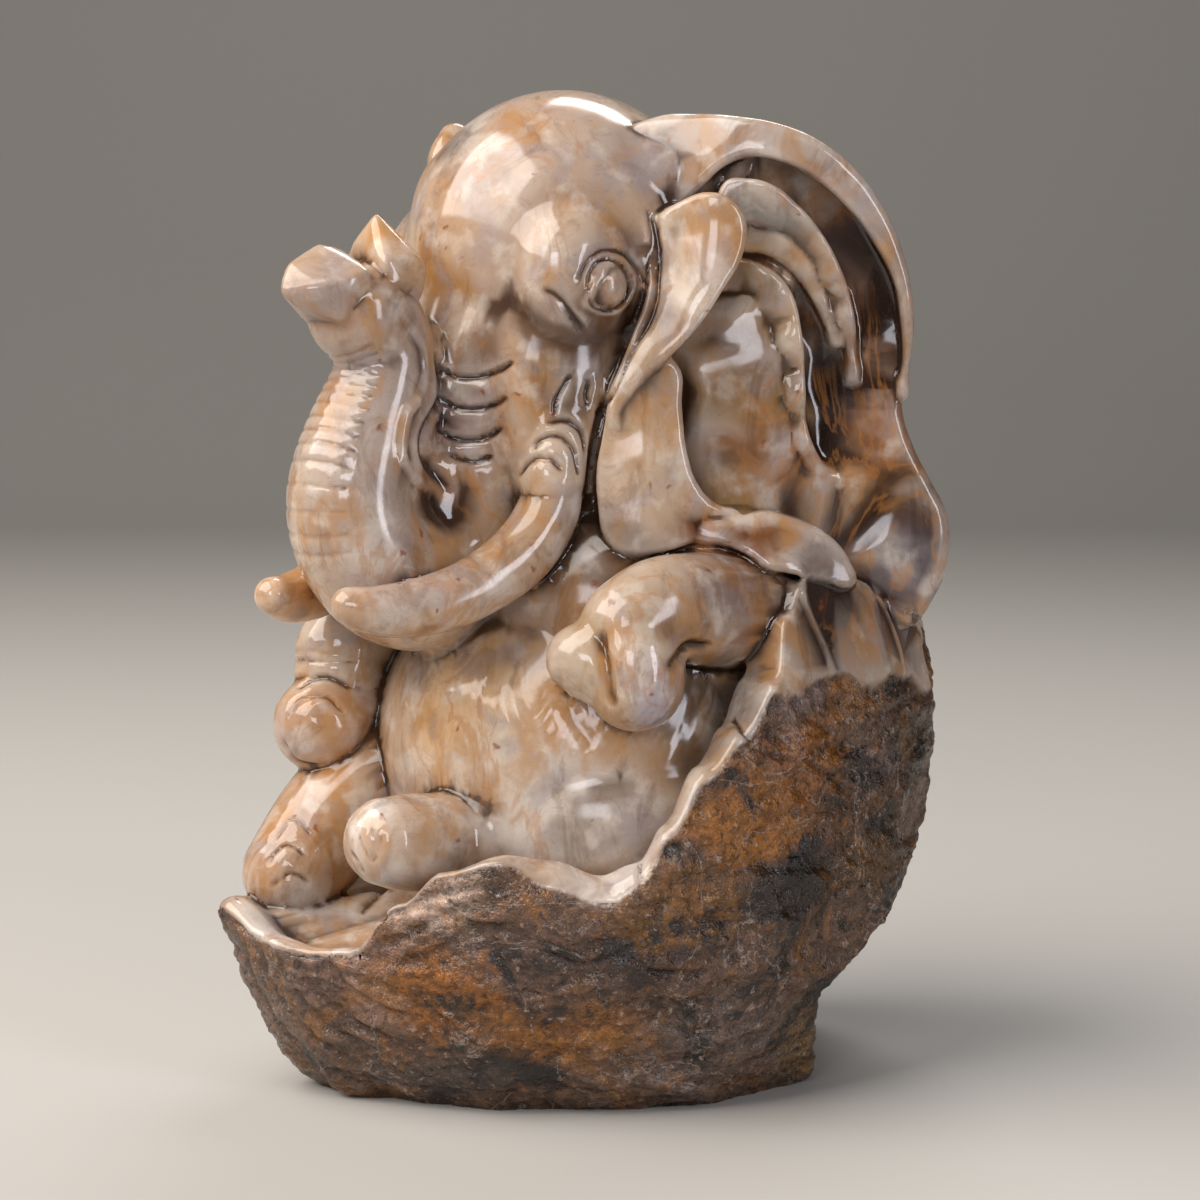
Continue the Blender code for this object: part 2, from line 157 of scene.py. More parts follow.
def smooth_rows(rows: Rows, steps: int = 8) -> np.ndarray:
    """Reads rows of control values as one smooth curve through all of them.

    Args:
        rows: The control rows.
        steps: Samples between one row and the next.

    Returns:
        The curve's samples, with the same columns.
    """
    points = np.array(rows, float)
    ends = np.vstack([2 * points[0] - points[1], points, 2 * points[-1] - points[-2]])
    samples = []
    for i in range(1, len(ends) - 2):
        before, here, there, after = ends[i - 1 : i + 3]
        for t in np.linspace(0, 1, steps, endpoint=False):
            linear = there - before
            square = 2 * before - 5 * here + 4 * there - after
            cube = 3 * here - before - 3 * there + after
            samples.append(0.5 * (2 * here + linear * t + square * t**2 + cube * t**3))
    samples.append(points[-1])
    return np.array(samples)


def ring_values(rows: Rows, degrees: np.ndarray) -> np.ndarray:
    """Reads rows of angle and value as a smooth closed function of the angle.

    Args:
        rows: Rows of degrees and value, in rising order.
        degrees: Where to read it.

    Returns:
        The value at each angle.
    """
    table = np.array(rows, float)
    angles = np.concatenate([table[-2:, 0] - 360, table[:, 0], table[:2, 0] + 360])
    values = np.concatenate([table[-2:, 1], table[:, 1], table[:2, 1]])
    degrees = np.mod(degrees, 360)
    low = np.clip(np.searchsorted(angles, degrees, side="right") - 1, 0, len(angles) - 2)
    share = (degrees - angles[low]) / (angles[low + 1] - angles[low])
    return values[low] + (values[low + 1] - values[low]) * (1 - np.cos(math.pi * share)) / 2


def new_mesh(name: str, bm: bmesh.types.BMesh) -> Mesh:
    """A mesh from a bmesh drawn in millimetres, with its faces outwards.

    Args:
        name: The mesh's name.
        bm: The bmesh, which is freed.

    Returns:
        The mesh, in metres.
    """
    bmesh.ops.recalc_face_normals(bm, faces=bm.faces)
    bmesh.ops.scale(bm, vec=(MM, MM, MM), verts=bm.verts)
    mesh = bpy.data.meshes.new(name)
    bm.to_mesh(mesh)
    bm.free()
    return mesh


def joined_rings(bm: bmesh.types.BMesh, rings: Sequence[Sequence[Any]], capped: bool = True) -> None:
    """Faces between rings of equally many vertices.

    Args:
        bm: The bmesh that holds the rings.
        rings: The rings, from one end to the other.
        capped: True if the two ends are closed.
    """
    count = len(rings[0])
    for low, high in zip(rings, rings[1:]):
        for k in range(count):
            after = (k + 1) % count
            bm.faces.new((low[k], low[after], high[after], high[k]))
    if capped:
        bm.faces.new(rings[0])
        bm.faces.new(rings[-1])


def loft(
    name: str,
    rows: Rows,
    facing: Row,
    section: Section = Section.ROUND,
    sides: int = 40,
) -> Mesh:
    """A limb or fold through rows of x, y, z, depth radius and breadth radius.

    Args:
        name: The mesh's name.
        rows: The rows, in millimetres.
        facing: The direction that the depth radius lies along.
        section: The cut end's shape. A lens is crisp at both ends of its breadth.
        sides: Vertices round the section.

    Returns:
        The limb, closed by round ends.
    """
    rows = smooth_rows(rows)
    path, depth, breadth = rows[:, :3], rows[:, 3], rows[:, 4]
    along = np.gradient(path, axis=0)
    along /= np.linalg.norm(along, axis=1)[:, None]
    out = np.array(facing, float) - along * (along @ np.array(facing, float))[:, None]
    out /= np.linalg.norm(out, axis=1)[:, None]
    across = np.cross(along, out)
    angles = np.linspace(0, 2 * math.pi, sides, endpoint=False)
    cosine = np.cos(angles) * np.abs(np.cos(angles)) ** section.value
    bm = bmesh.new()
    rings = []

    def add_ring(i: int, share: float, shift: float) -> None:
        spread = depth[i] * cosine[:, None] * out[i] + breadth[i] * np.sin(angles)[:, None] * across[i]
        points = path[i] + along[i] * shift + share * spread
        rings.append([bm.verts.new(point) for point in points])

    dome = [math.radians(a) for a in (80, 62, 42, 20)]
    last = len(path) - 1
    for a in dome:
        add_ring(0, math.cos(a), -min(depth[0], breadth[0]) * math.sin(a))
    for i in range(len(path)):
        add_ring(i, 1.0, 0.0)
    for a in reversed(dome):
        add_ring(last, math.cos(a), min(depth[last], breadth[last]) * math.sin(a))
    joined_rings(bm, rings)
    return new_mesh(name, bm)


def round_limb(name: str, rows: Rows) -> Mesh:
    """A limb of round section, through rows of x, y, z and radius."""
    rows = np.array(rows, float)
    return loft(name, np.column_stack([rows, rows[:, 3]]), (0.0, 0.2, 1.0))


def mass(name: str, row: Row, turn: Turn) -> Mesh:
    """A rounded mass in a turned frame.

    Args:
        name: The mesh's name.
        row: Forward, side and height, then the three radii, in millimetres.
        turn: The frame that it is drawn in.

    Returns:
        The closed mass.
    """
    place = turn.place([row[:3]])[0]
    bm = bmesh.new()
    bmesh.ops.create_uvsphere(bm, u_segments=64, v_segments=40, radius=1.0)
    spin = Matrix.Rotation(-math.radians(turn.yaw), 4, "Z")
    shape = Matrix.Diagonal((row[4], row[3], row[5], 1.0))
    bmesh.ops.transform(bm, matrix=Matrix.Translation(place) @ spin @ shape, verts=bm.verts)
    return new_mesh(name, bm)


def cut_form(name: str, points: Rows) -> Mesh:
    """A form with flat facets, as if cut by a wheel: the hull of points in millimetres."""
    bm = bmesh.new()
    for point in points:
        bm.verts.new(point)
    bmesh.ops.convex_hull(bm, input=bm.verts)
    return new_mesh(name, bm)


def as_object(name: str, mesh: Mesh) -> Object:
    """An object that holds the mesh, in the scene's own collection."""
    obj = bpy.data.objects.new(name, mesh)
    bpy.context.scene.collection.objects.link(obj)
    return obj


def joined(name: str, meshes: Iterable[Mesh]) -> Object:
    """One object that holds all the meshes, which may overlap. They are used up."""
    bm = bmesh.new()
    for mesh in meshes:
        bm.from_mesh(mesh)
        bpy.data.meshes.remove(mesh)
    whole = bpy.data.meshes.new(name)
    bm.to_mesh(whole)
    bm.free()
    return as_object(name, whole)


def finished_mesh(obj: Object, keep: bool = False) -> Mesh:
    """The object's mesh with its modifiers applied.

    Args:
        obj: The object.
        keep: True if the object stays in the scene.

    Returns:
        A plain mesh.
    """
    graph = bpy.context.evaluated_depsgraph_get()
    mesh = bpy.data.meshes.new_from_object(obj.evaluated_get(graph), preserve_all_data_layers=True, depsgraph=graph)
    if not keep:
        bpy.data.objects.remove(obj)
    return mesh


def skinned(name: str, meshes: Iterable[Mesh], voxel: float, rounds: int) -> Mesh:
    """One closed skin round all that overlaps, softened where the forms meet.

    Args:
        name: The mesh's name.
        meshes: The overlapping forms, which are used up.
        voxel: The skin's fineness, in millimetres.
        rounds: Rounds of softening.

    Returns:
        The skin.
    """
    obj = joined(name, meshes)
    remesh = obj.modifiers.new("one skin", "REMESH")
    remesh.mode = "VOXEL"
    remesh.voxel_size = voxel * MM
    if rounds:
        soften = obj.modifiers.new("softened joints", "SMOOTH")
        soften.factor = 0.5
        soften.iterations = rounds
    return finished_mesh(obj)


def positions(mesh: Mesh) -> np.ndarray:
    """The vertices of a mesh, in millimetres."""
    flat = np.empty(len(mesh.vertices) * 3, np.float32)
    mesh.vertices.foreach_get("co", flat)
    return flat.reshape(-1, 3).astype(float) / MM


def set_positions(mesh: Mesh, points: np.ndarray) -> None:
    """Moves the vertices of a mesh to points in millimetres."""
    mesh.vertices.foreach_set("co", (points * MM).astype(np.float32).ravel())
    mesh.update()


def smooth_step(low: float, high: float, value: np.ndarray) -> np.ndarray:
    """0 below low, 1 above high and smooth in between."""
    share = np.clip((value - low) / (high - low), 0, 1)
    return share * share * (3 - 2 * share)


@dataclass(frozen=True)
class Plate:
    """A leaf of stone with a crisp outline, bent to pass through a few depths.

    Attributes:
        name: What it is.
        outline: Rows of x and z round its edge, in millimetres.
        depths: Rows of x, z and y that its front passes near.
        thickness: Its thickness in millimetres.
        edge: The radius of its edges.
        reach: How far each row of depth counts.
    """

    name: str
    outline: Rows
    depths: Rows
    thickness: float
    edge: float
    reach: float

    def front(self, x: np.ndarray, z: np.ndarray) -> np.ndarray:
        """How deep the front lies at each place, in millimetres."""
        table = np.array(self.depths, float)
        away = (x[:, None] - table[:, 0]) ** 2 + (z[:, None] - table[:, 1]) ** 2
        weights = np.exp(-(away - away.min(axis=1)[:, None]) / self.reach**2)
        return (weights @ table[:, 2]) / weights.sum(axis=1)

    def build(self, voxel: float) -> Mesh:
        """Cuts the leaf to its outline and bends it.

        Args:
            voxel: Its fineness, in millimetres.

        Returns:
            The closed leaf.
        """
        curve = bpy.data.curves.new(self.name, "CURVE")
        curve.dimensions = "2D"
        curve.fill_mode = "BOTH"
        curve.extrude = (self.thickness / 2 - self.edge) * MM
        curve.bevel_depth = self.edge * MM
        curve.bevel_resolution = 5
        curve.offset = -self.edge * MM
        spline = curve.splines.new("BEZIER")
        spline.bezier_points.add(len(self.outline) - 1)
        spline.use_cyclic_u = True
        spline.resolution_u = 10
        for point, (x, z) in zip(spline.bezier_points, self.outline):
            point.co = (x * MM, z * MM, 0)
            point.handle_left_type = point.handle_right_type = "AUTO"
        flat = finished_mesh(as_object(self.name, curve))
        leaf = skinned(self.name, [flat], voxel, 1)
        points = positions(leaf)
        deep = self.front(points[:, 0], points[:, 1]) + self.thickness / 2 - points[:, 2]
        set_positions(leaf, np.column_stack([points[:, 0], deep, points[:, 1]]))
        return leaf


def sunken(mesh: Mesh, rounds: int) -> np.ndarray:
    """How far each vertex lies below its surroundings.

    Args:
        mesh: The mesh.
        rounds: How many times the surroundings are evened out, so how far they reach.

    Returns:
        Millimetres, below zero where the vertex stands proud.
    """
    points = positions(mesh)
    flat = np.empty(len(mesh.edges) * 2, np.int32)
    mesh.edges.foreach_get("vertices", flat)
    first, second = flat.reshape(-1, 2).T
    normals = np.empty(len(points) * 3, np.float32)
    mesh.vertex_normals.foreach_get("vector", normals)
    count = np.bincount(flat, minlength=len(points))[:, None]
    even = points.copy()
    for _ in range(rounds):
        total = np.empty_like(even)
        for axis in range(3):
            total[:, axis] = np.bincount(first, even[second, axis], len(points))
            total[:, axis] += np.bincount(second, even[first, axis], len(points))
        even = (even + total / count) / 2
    return ((even - points) * normals.reshape(-1, 3)).sum(axis=1)


class Surface:
    """A skin that lines are laid on."""

    def __init__(self, mesh: Mesh) -> None:
        """Reads the mesh once, for quick hits."""
        bm = bmesh.new()
        bm.from_mesh(mesh)
        self.tree = BVHTree.FromBMesh(bm)
        bm.free()

    def hit(self, start: Row, direction: Row) -> np.ndarray | None:
        """Where a ray first meets the skin.

        Args:
            start: Its start, in millimetres.
            direction: Its direction.

        Returns:
            The point in millimetres, or None where it misses.
        """
        place = self.tree.ray_cast(Vector(start) * MM, Vector(direction))[0]
        return None if place is None else np.array(place) / MM


def path_mesh(name: str, paths: Iterable[np.ndarray]) -> Mesh:
    """A mesh of bare edges along paths of points in millimetres."""
    bm = bmesh.new()
    for path in paths:
        verts = [bm.verts.new(Vector(point) * MM) for point in path]
        for low, high in zip(verts, verts[1:]):
            bm.edges.new((low, high))
    mesh = bpy.data.meshes.new(name)
    bm.to_mesh(mesh)
    bm.free()
    return mesh


def add_node(tree: NodeTree, kind: str, settings: dict[str, Any] | None = None, inputs: dict[Any, Any] | None = None) -> Node:
    """Adds a node with its settings and links.

    Args:
        tree: The tree that takes it.
        kind: The node's type.
        settings: Its own settings by name.
        inputs: Its inputs by name or place: a socket is linked and anything else is its value.

    Returns:
        The node.
    """
    node = tree.nodes.new(kind)
    for name, value in (settings or {}).items():
        setattr(node, name, value)
    for key, value in (inputs or {}).items():
        if isinstance(value, bpy.types.NodeSocket):
            tree.links.new(value, node.inputs[key])
        else:
            node.inputs[key].default_value = value
    return node


def mix(tree: NodeTree, share: Any, first: Any, second: Any, blend: str = "MIX") -> Any:
    """Mixes two colours.

    Args:
        tree: The tree.
        share: How much of the second colour, as a socket or a number.
        first: The first colour, as a socket or a value.
        second: The second colour, as a socket or a value.
        blend: The way they mix.

    Returns:
        The socket of the mixed colour.
    """
    settings = {"data_type": "RGBA", "blend_type": blend}
    return add_node(tree, "ShaderNodeMix", settings, {0: share, 6: first, 7: second}).outputs[2]


def start_tree(name: str, sizes: dict[str, tuple[str, Any]]) -> tuple[NodeTree, Node]:
    """A new geometry tree with a geometry input and named sizes.

    Args:
        name: The tree's name.
        sizes: Each further input's socket type and default value, by name.

    Returns:
        The tree and its input node.
    """
    tree = bpy.data.node_groups.new(name, "GeometryNodeTree")
    tree.interface.new_socket("Geometry", in_out="INPUT", socket_type="NodeSocketGeometry")
    for size, (kind, default) in sizes.items():
        socket = tree.interface.new_socket(size, in_out="INPUT", socket_type=kind)
        if default is not None:
            socket.default_value = default
    tree.interface.new_socket("Geometry", in_out="OUTPUT", socket_type="NodeSocketGeometry")
    return tree, tree.nodes.new("NodeGroupInput")


def end_tree(tree: NodeTree, given: Node, geometry: Any) -> None:
    """Ends a geometry tree with plain geometry that has its material.

    Args:
        tree: The tree.
        given: Its input node, which has an input called Stone.
        geometry: The socket that holds the result.
    """
    real = add_node(tree, "GeometryNodeRealizeInstances", None, {"Geometry": geometry})
    dressed = add_node(tree, "GeometryNodeSetMaterial", None, {"Geometry": real.outputs[0], "Material": given.outputs["Stone"]})
    add_node(tree, "NodeGroupOutput", None, {"Geometry": dressed.outputs[0]})


def use_tree(obj: Object, tree: NodeTree, sizes: dict[str, Any]) -> Modifier:
    """Gives an object a geometry tree with these sizes, by its sockets' identifiers."""
    modifier = obj.modifiers.new(tree.name, "NODES")
    modifier.node_group = tree
    sockets = {item.name: item.identifier for item in tree.interface.items_tree if item.in_out == "INPUT"}
    for name, value in sizes.items():
        modifier[sockets[name]] = value
    return modifier


def groove_tree() -> NodeTree:
    """A tree that cuts a groove, or raises a ridge, along the lines of another object."""
    tree, given = start_tree("cut lines", {
        "Lines": ("NodeSocketObject", None),
        "Depth": ("NodeSocketFloat", 0.5 * MM),
        "Width": ("NodeSocketFloat", 1.0 * MM),
        "Stone": ("NodeSocketMaterial", None),
    })
    lines = add_node(tree, "GeometryNodeObjectInfo", {"transform_space": "RELATIVE"}, {"Object": given.outputs["Lines"]})
    near = add_node(tree, "GeometryNodeProximity", {"target_element": Target.EDGES.value}, {0: lines.outputs["Geometry"]})
    reach = add_node(tree, "ShaderNodeMapRange", {"interpolation_type": "SMOOTHSTEP"}, {
        "Value": near.outputs["Distance"], "From Min": 0.0, "From Max": given.outputs["Width"], "To Min": 1.0, "To Max": 0.0,
    })
    depth = add_node(tree, "ShaderNodeMath", {"operation": "MULTIPLY"}, {0: reach.outputs["Result"], 1: given.outputs["Depth"]})
    inward = add_node(tree, "ShaderNodeMath", {"operation": "MULTIPLY"}, {0: depth.outputs[0], 1: -1.0})
    normal = add_node(tree, "GeometryNodeInputNormal")
    offset = add_node(tree, "ShaderNodeVectorMath", {"operation": "SCALE"}, {0: normal.outputs[0], "Scale": inward.outputs[0]})
    cut = add_node(tree, "GeometryNodeSetPosition", None, {"Geometry": given.outputs["Geometry"], "Offset": offset.outputs[0]})
    end_tree(tree, given, cut.outputs[0])
    return tree


def ring_tree() -> NodeTree:
    """A tree that lays arcs across a path, like the rings of a trunk, on a skin."""
    tree, given = start_tree("rings along a path", {
        "Skin": ("NodeSocketObject", None),
        "Rings": ("NodeSocketInt", 12),
        "Side": ("NodeSocketVector", (0.0, 0.0, 1.0)),
        "Start angle": ("NodeSocketFloat", 0.0),
        "Sweep": ("NodeSocketFloat", math.pi),
        "Stone": ("NodeSocketMaterial", None),
    })
    path = add_node(tree, "GeometryNodeMeshToCurve", None, {0: given.outputs["Geometry"]})
    stops = add_node(tree, "GeometryNodeResampleCurve", {"mode": "COUNT"}, {"Curve": path.outputs[0], "Count": given.outputs["Rings"]})
    tangent = add_node(tree, "GeometryNodeInputTangent")
    outward = add_node(tree, "ShaderNodeVectorMath", {"operation": "CROSS_PRODUCT"}, {0: given.outputs["Side"], 1: tangent.outputs[0]})
    stand = add_node(tree, "FunctionNodeAxesToRotation", {"primary_axis": "Z", "secondary_axis": "X"}, {
        "Primary Axis": tangent.outputs[0], "Secondary Axis": outward.outputs[0],
    })
    arc = add_node(tree, "GeometryNodeCurveArc", {"mode": "RADIUS"}, {
        "Resolution": 40, "Radius": 1.0, "Start Angle": given.outputs["Start angle"], "Sweep Angle": given.outputs["Sweep"],
    })
    reach = add_node(tree, "GeometryNodeInputNamedAttribute", {"data_type": "FLOAT"}, {"Name": "reach"})
    rings = add_node(tree, "GeometryNodeInstanceOnPoints", None, {
        "Points": stops.outputs[0], "Instance": arc.outputs["Curve"], "Rotation": stand.outputs[0], "Scale": reach.outputs["Attribute"],
    })
    real = add_node(tree, "GeometryNodeRealizeInstances", None, {"Geometry": rings.outputs[0]})
    edges = add_node(tree, "GeometryNodeCurveToMesh", None, {"Curve": real.outputs[0]})
    skin = add_node(tree, "GeometryNodeObjectInfo", {"transform_space": "RELATIVE"}, {"Object": given.outputs["Skin"]})
    near = add_node(tree, "GeometryNodeProximity", {"target_element": Target.FACES.value}, {0: skin.outputs["Geometry"]})
    laid = add_node(tree, "GeometryNodeSetPosition", None, {"Geometry": edges.outputs[0], "Position": near.outputs["Position"]})
    end_tree(tree, given, laid.outputs[0])
    return tree


def stroke_tree() -> NodeTree:
    """A tree that scatters short combed strokes, like hair lines, on one region of a skin."""
    tree, given = start_tree("combed strokes", {
        "Centre": ("NodeSocketVector", (0.0, 0.0, 0.0)),
        "Reach": ("NodeSocketVector", (1.0, 1.0, 1.0)),
        "Comb": ("NodeSocketVector", (0.0, 0.0, -1.0)),
        "Length": ("NodeSocketFloat", 5.0 * MM),
        "Spacing": ("NodeSocketFloat", 1.5 * MM),
        "Spread": ("NodeSocketFloat", 0.5),
        "Seed": ("NodeSocketInt", 1),
        "Stone": ("NodeSocketMaterial", None),
    })
    place = add_node(tree, "GeometryNodeInputPosition")
    off = add_node(tree, "ShaderNodeVectorMath", {"operation": "SUBTRACT"}, {0: place.outputs[0], 1: given.outputs["Centre"]})
    share = add_node(tree, "ShaderNodeVectorMath", {"operation": "DIVIDE"}, {0: off.outputs[0], 1: given.outputs["Reach"]})
    far = add_node(tree, "ShaderNodeVectorMath", {"operation": "LENGTH"}, {0: share.outputs[0]})
    inside = add_node(tree, "FunctionNodeCompare", {"data_type": "FLOAT", "operation": "LESS_THAN"}, {0: far.outputs["Value"], 1: 1.0})
    spots = add_node(tree, "GeometryNodeDistributePointsOnFaces", {"distribute_method": "POISSON"}, {
        "Mesh": given.outputs["Geometry"], "Selection": inside.outputs[0], "Distance Min": given.outputs["Spacing"],
        "Density Max": 4.0e6, "Density Factor": 1.0, "Seed": given.outputs["Seed"],
    })
    stray = add_node(tree, "FunctionNodeRandomValue", {"data_type": "FLOAT_VECTOR"}, {0: (-1.0, -1.0, -1.0), 1: (1.0, 1.0, 1.0), "Seed": given.outputs["Seed"]})
    sway = add_node(tree, "ShaderNodeVectorMath", {"operation": "SCALE"}, {0: stray.outputs[0], "Scale": given.outputs["Spread"]})
    lie = add_node(tree, "ShaderNodeVectorMath", {"operation": "ADD"}, {0: given.outputs["Comb"], 1: sway.outputs[0]})
    stand = add_node(tree, "FunctionNodeAxesToRotation", {"primary_axis": "Z", "secondary_axis": "X"}, {
        "Primary Axis": spots.outputs["Normal"], "Secondary Axis": lie.outputs[0],
    })
    bend = add_node(tree, "GeometryNodeCurvePrimitiveBezierSegment", None, {
        "Resolution": 8, "Start": (-0.5, 0.0, 0.0), "Start Handle": (-0.2, 0.12, 0.0), "End Handle": (0.2, 0.12, 0.0), "End": (0.5, 0.0, 0.0),
    })
    size = add_node(tree, "FunctionNodeRandomValue", {"data_type": "FLOAT"}, {2: 0.6, 3: 1.2, "Seed": given.outputs["Seed"]})
    long = add_node(tree, "ShaderNodeMath", {"operation": "MULTIPLY"}, {0: size.outputs[1], 1: given.outputs["Length"]})
    strokes = add_node(tree, "GeometryNodeInstanceOnPoints", None, {
        "Points": spots.outputs["Points"], "Instance": bend.outputs[0], "Rotation": stand.outputs[0], "Scale": long.outputs[0],
    })
    real = add_node(tree, "GeometryNodeRealizeInstances", None, {"Geometry": strokes.outputs[0]})
    edges = add_node(tree, "GeometryNodeCurveToMesh", None, {"Curve": real.outputs[0]})
    near = add_node(tree, "GeometryNodeProximity", {"target_element": Target.FACES.value}, {0: given.outputs["Geometry"]})
    laid = add_node(tree, "GeometryNodeSetPosition", None, {"Geometry": edges.outputs[0], "Position": near.outputs["Position"]})
    end_tree(tree, given, laid.outputs[0])
    return tree


def rind_tree() -> NodeTree:
    """A tree that roughens a skin where it lies on the boulder's outer wall, and marks it."""
    tree, given = start_tree("rough rind", {
        "Wall": ("NodeSocketObject", None),
        "Reach": ("NodeSocketFloat", 1.2 * MM),
        "Lump size": ("NodeSocketFloat", 12.0 * MM),
        "Lumps": ("NodeSocketFloat", 2.6 * MM),
        "Grain size": ("NodeSocketFloat", 2.4 * MM),
        "Grain": ("NodeSocketFloat", 0.36 * MM),
        "Stone": ("NodeSocketMaterial", None),
    })
    wall = add_node(tree, "GeometryNodeObjectInfo", {"transform_space": "RELATIVE"}, {"Object": given.outputs["Wall"]})
    near = add_node(tree, "GeometryNodeProximity", {"target_element": Target.FACES.value}, {0: wall.outputs["Geometry"]})
    start = add_node(tree, "ShaderNodeMath", {"operation": "MULTIPLY"}, {0: given.outputs["Reach"], 1: 0.5})
    mask = add_node(tree, "ShaderNodeMapRange", {"interpolation_type": "SMOOTHSTEP"}, {
        "Value": near.outputs["Distance"], "From Min": start.outputs[0], "From Max": given.outputs["Reach"], "To Min": 1.0, "To Max": 0.0,
    })
    marked = add_node(tree, "GeometryNodeStoreNamedAttribute", {"data_type": "FLOAT", "domain": "POINT"}, {
        "Geometry": given.outputs["Geometry"], "Name": "rind", "Value": mask.outputs["Result"],
    })
    place = add_node(tree, "GeometryNodeInputPosition")
    layers = add_node(tree, "ShaderNodeVectorMath", {"operation": "MULTIPLY"}, {0: place.outputs[0], 1: (0.75, 0.75, 1.5)})
    total = None
    for size, height, detail in (("Lump size", "Lumps", 5.0), ("Grain size", "Grain", 3.0)):
        scale = add_node(tree, "ShaderNodeMath", {"operation": "DIVIDE"}, {0: 1.0, 1: given.outputs[size]})
        bumps = add_node(tree, "ShaderNodeTexNoise", None, {
            "Vector": layers.outputs[0], "Scale": scale.outputs[0], "Detail": detail, "Roughness": 0.6, "Distortion": 0.6,
        })
        middle = add_node(tree, "ShaderNodeMath", {"operation": "SUBTRACT"}, {0: bumps.outputs[0], 1: 0.58})
        lift = add_node(tree, "ShaderNodeMath", {"operation": "MULTIPLY"}, {0: middle.outputs[0], 1: given.outputs[height]})
        total = lift if total is None else add_node(tree, "ShaderNodeMath", {"operation": "ADD"}, {0: total.outputs[0], 1: lift.outputs[0]})
    twice = add_node(tree, "ShaderNodeMath", {"operation": "MULTIPLY"}, {0: total.outputs[0], 1: 2.0})
    masked = add_node(tree, "ShaderNodeMath", {"operation": "MULTIPLY"}, {0: twice.outputs[0], 1: mask.outputs["Result"]})
    normal = add_node(tree, "GeometryNodeInputNormal")
    offset = add_node(tree, "ShaderNodeVectorMath", {"operation": "SCALE"}, {0: normal.outputs[0], "Scale": masked.outputs[0]})
    moved = add_node(tree, "GeometryNodeSetPosition", None, {"Geometry": marked.outputs[0], "Offset": offset.outputs[0]})
    end_tree(tree, given, moved.outputs[0])
    return tree


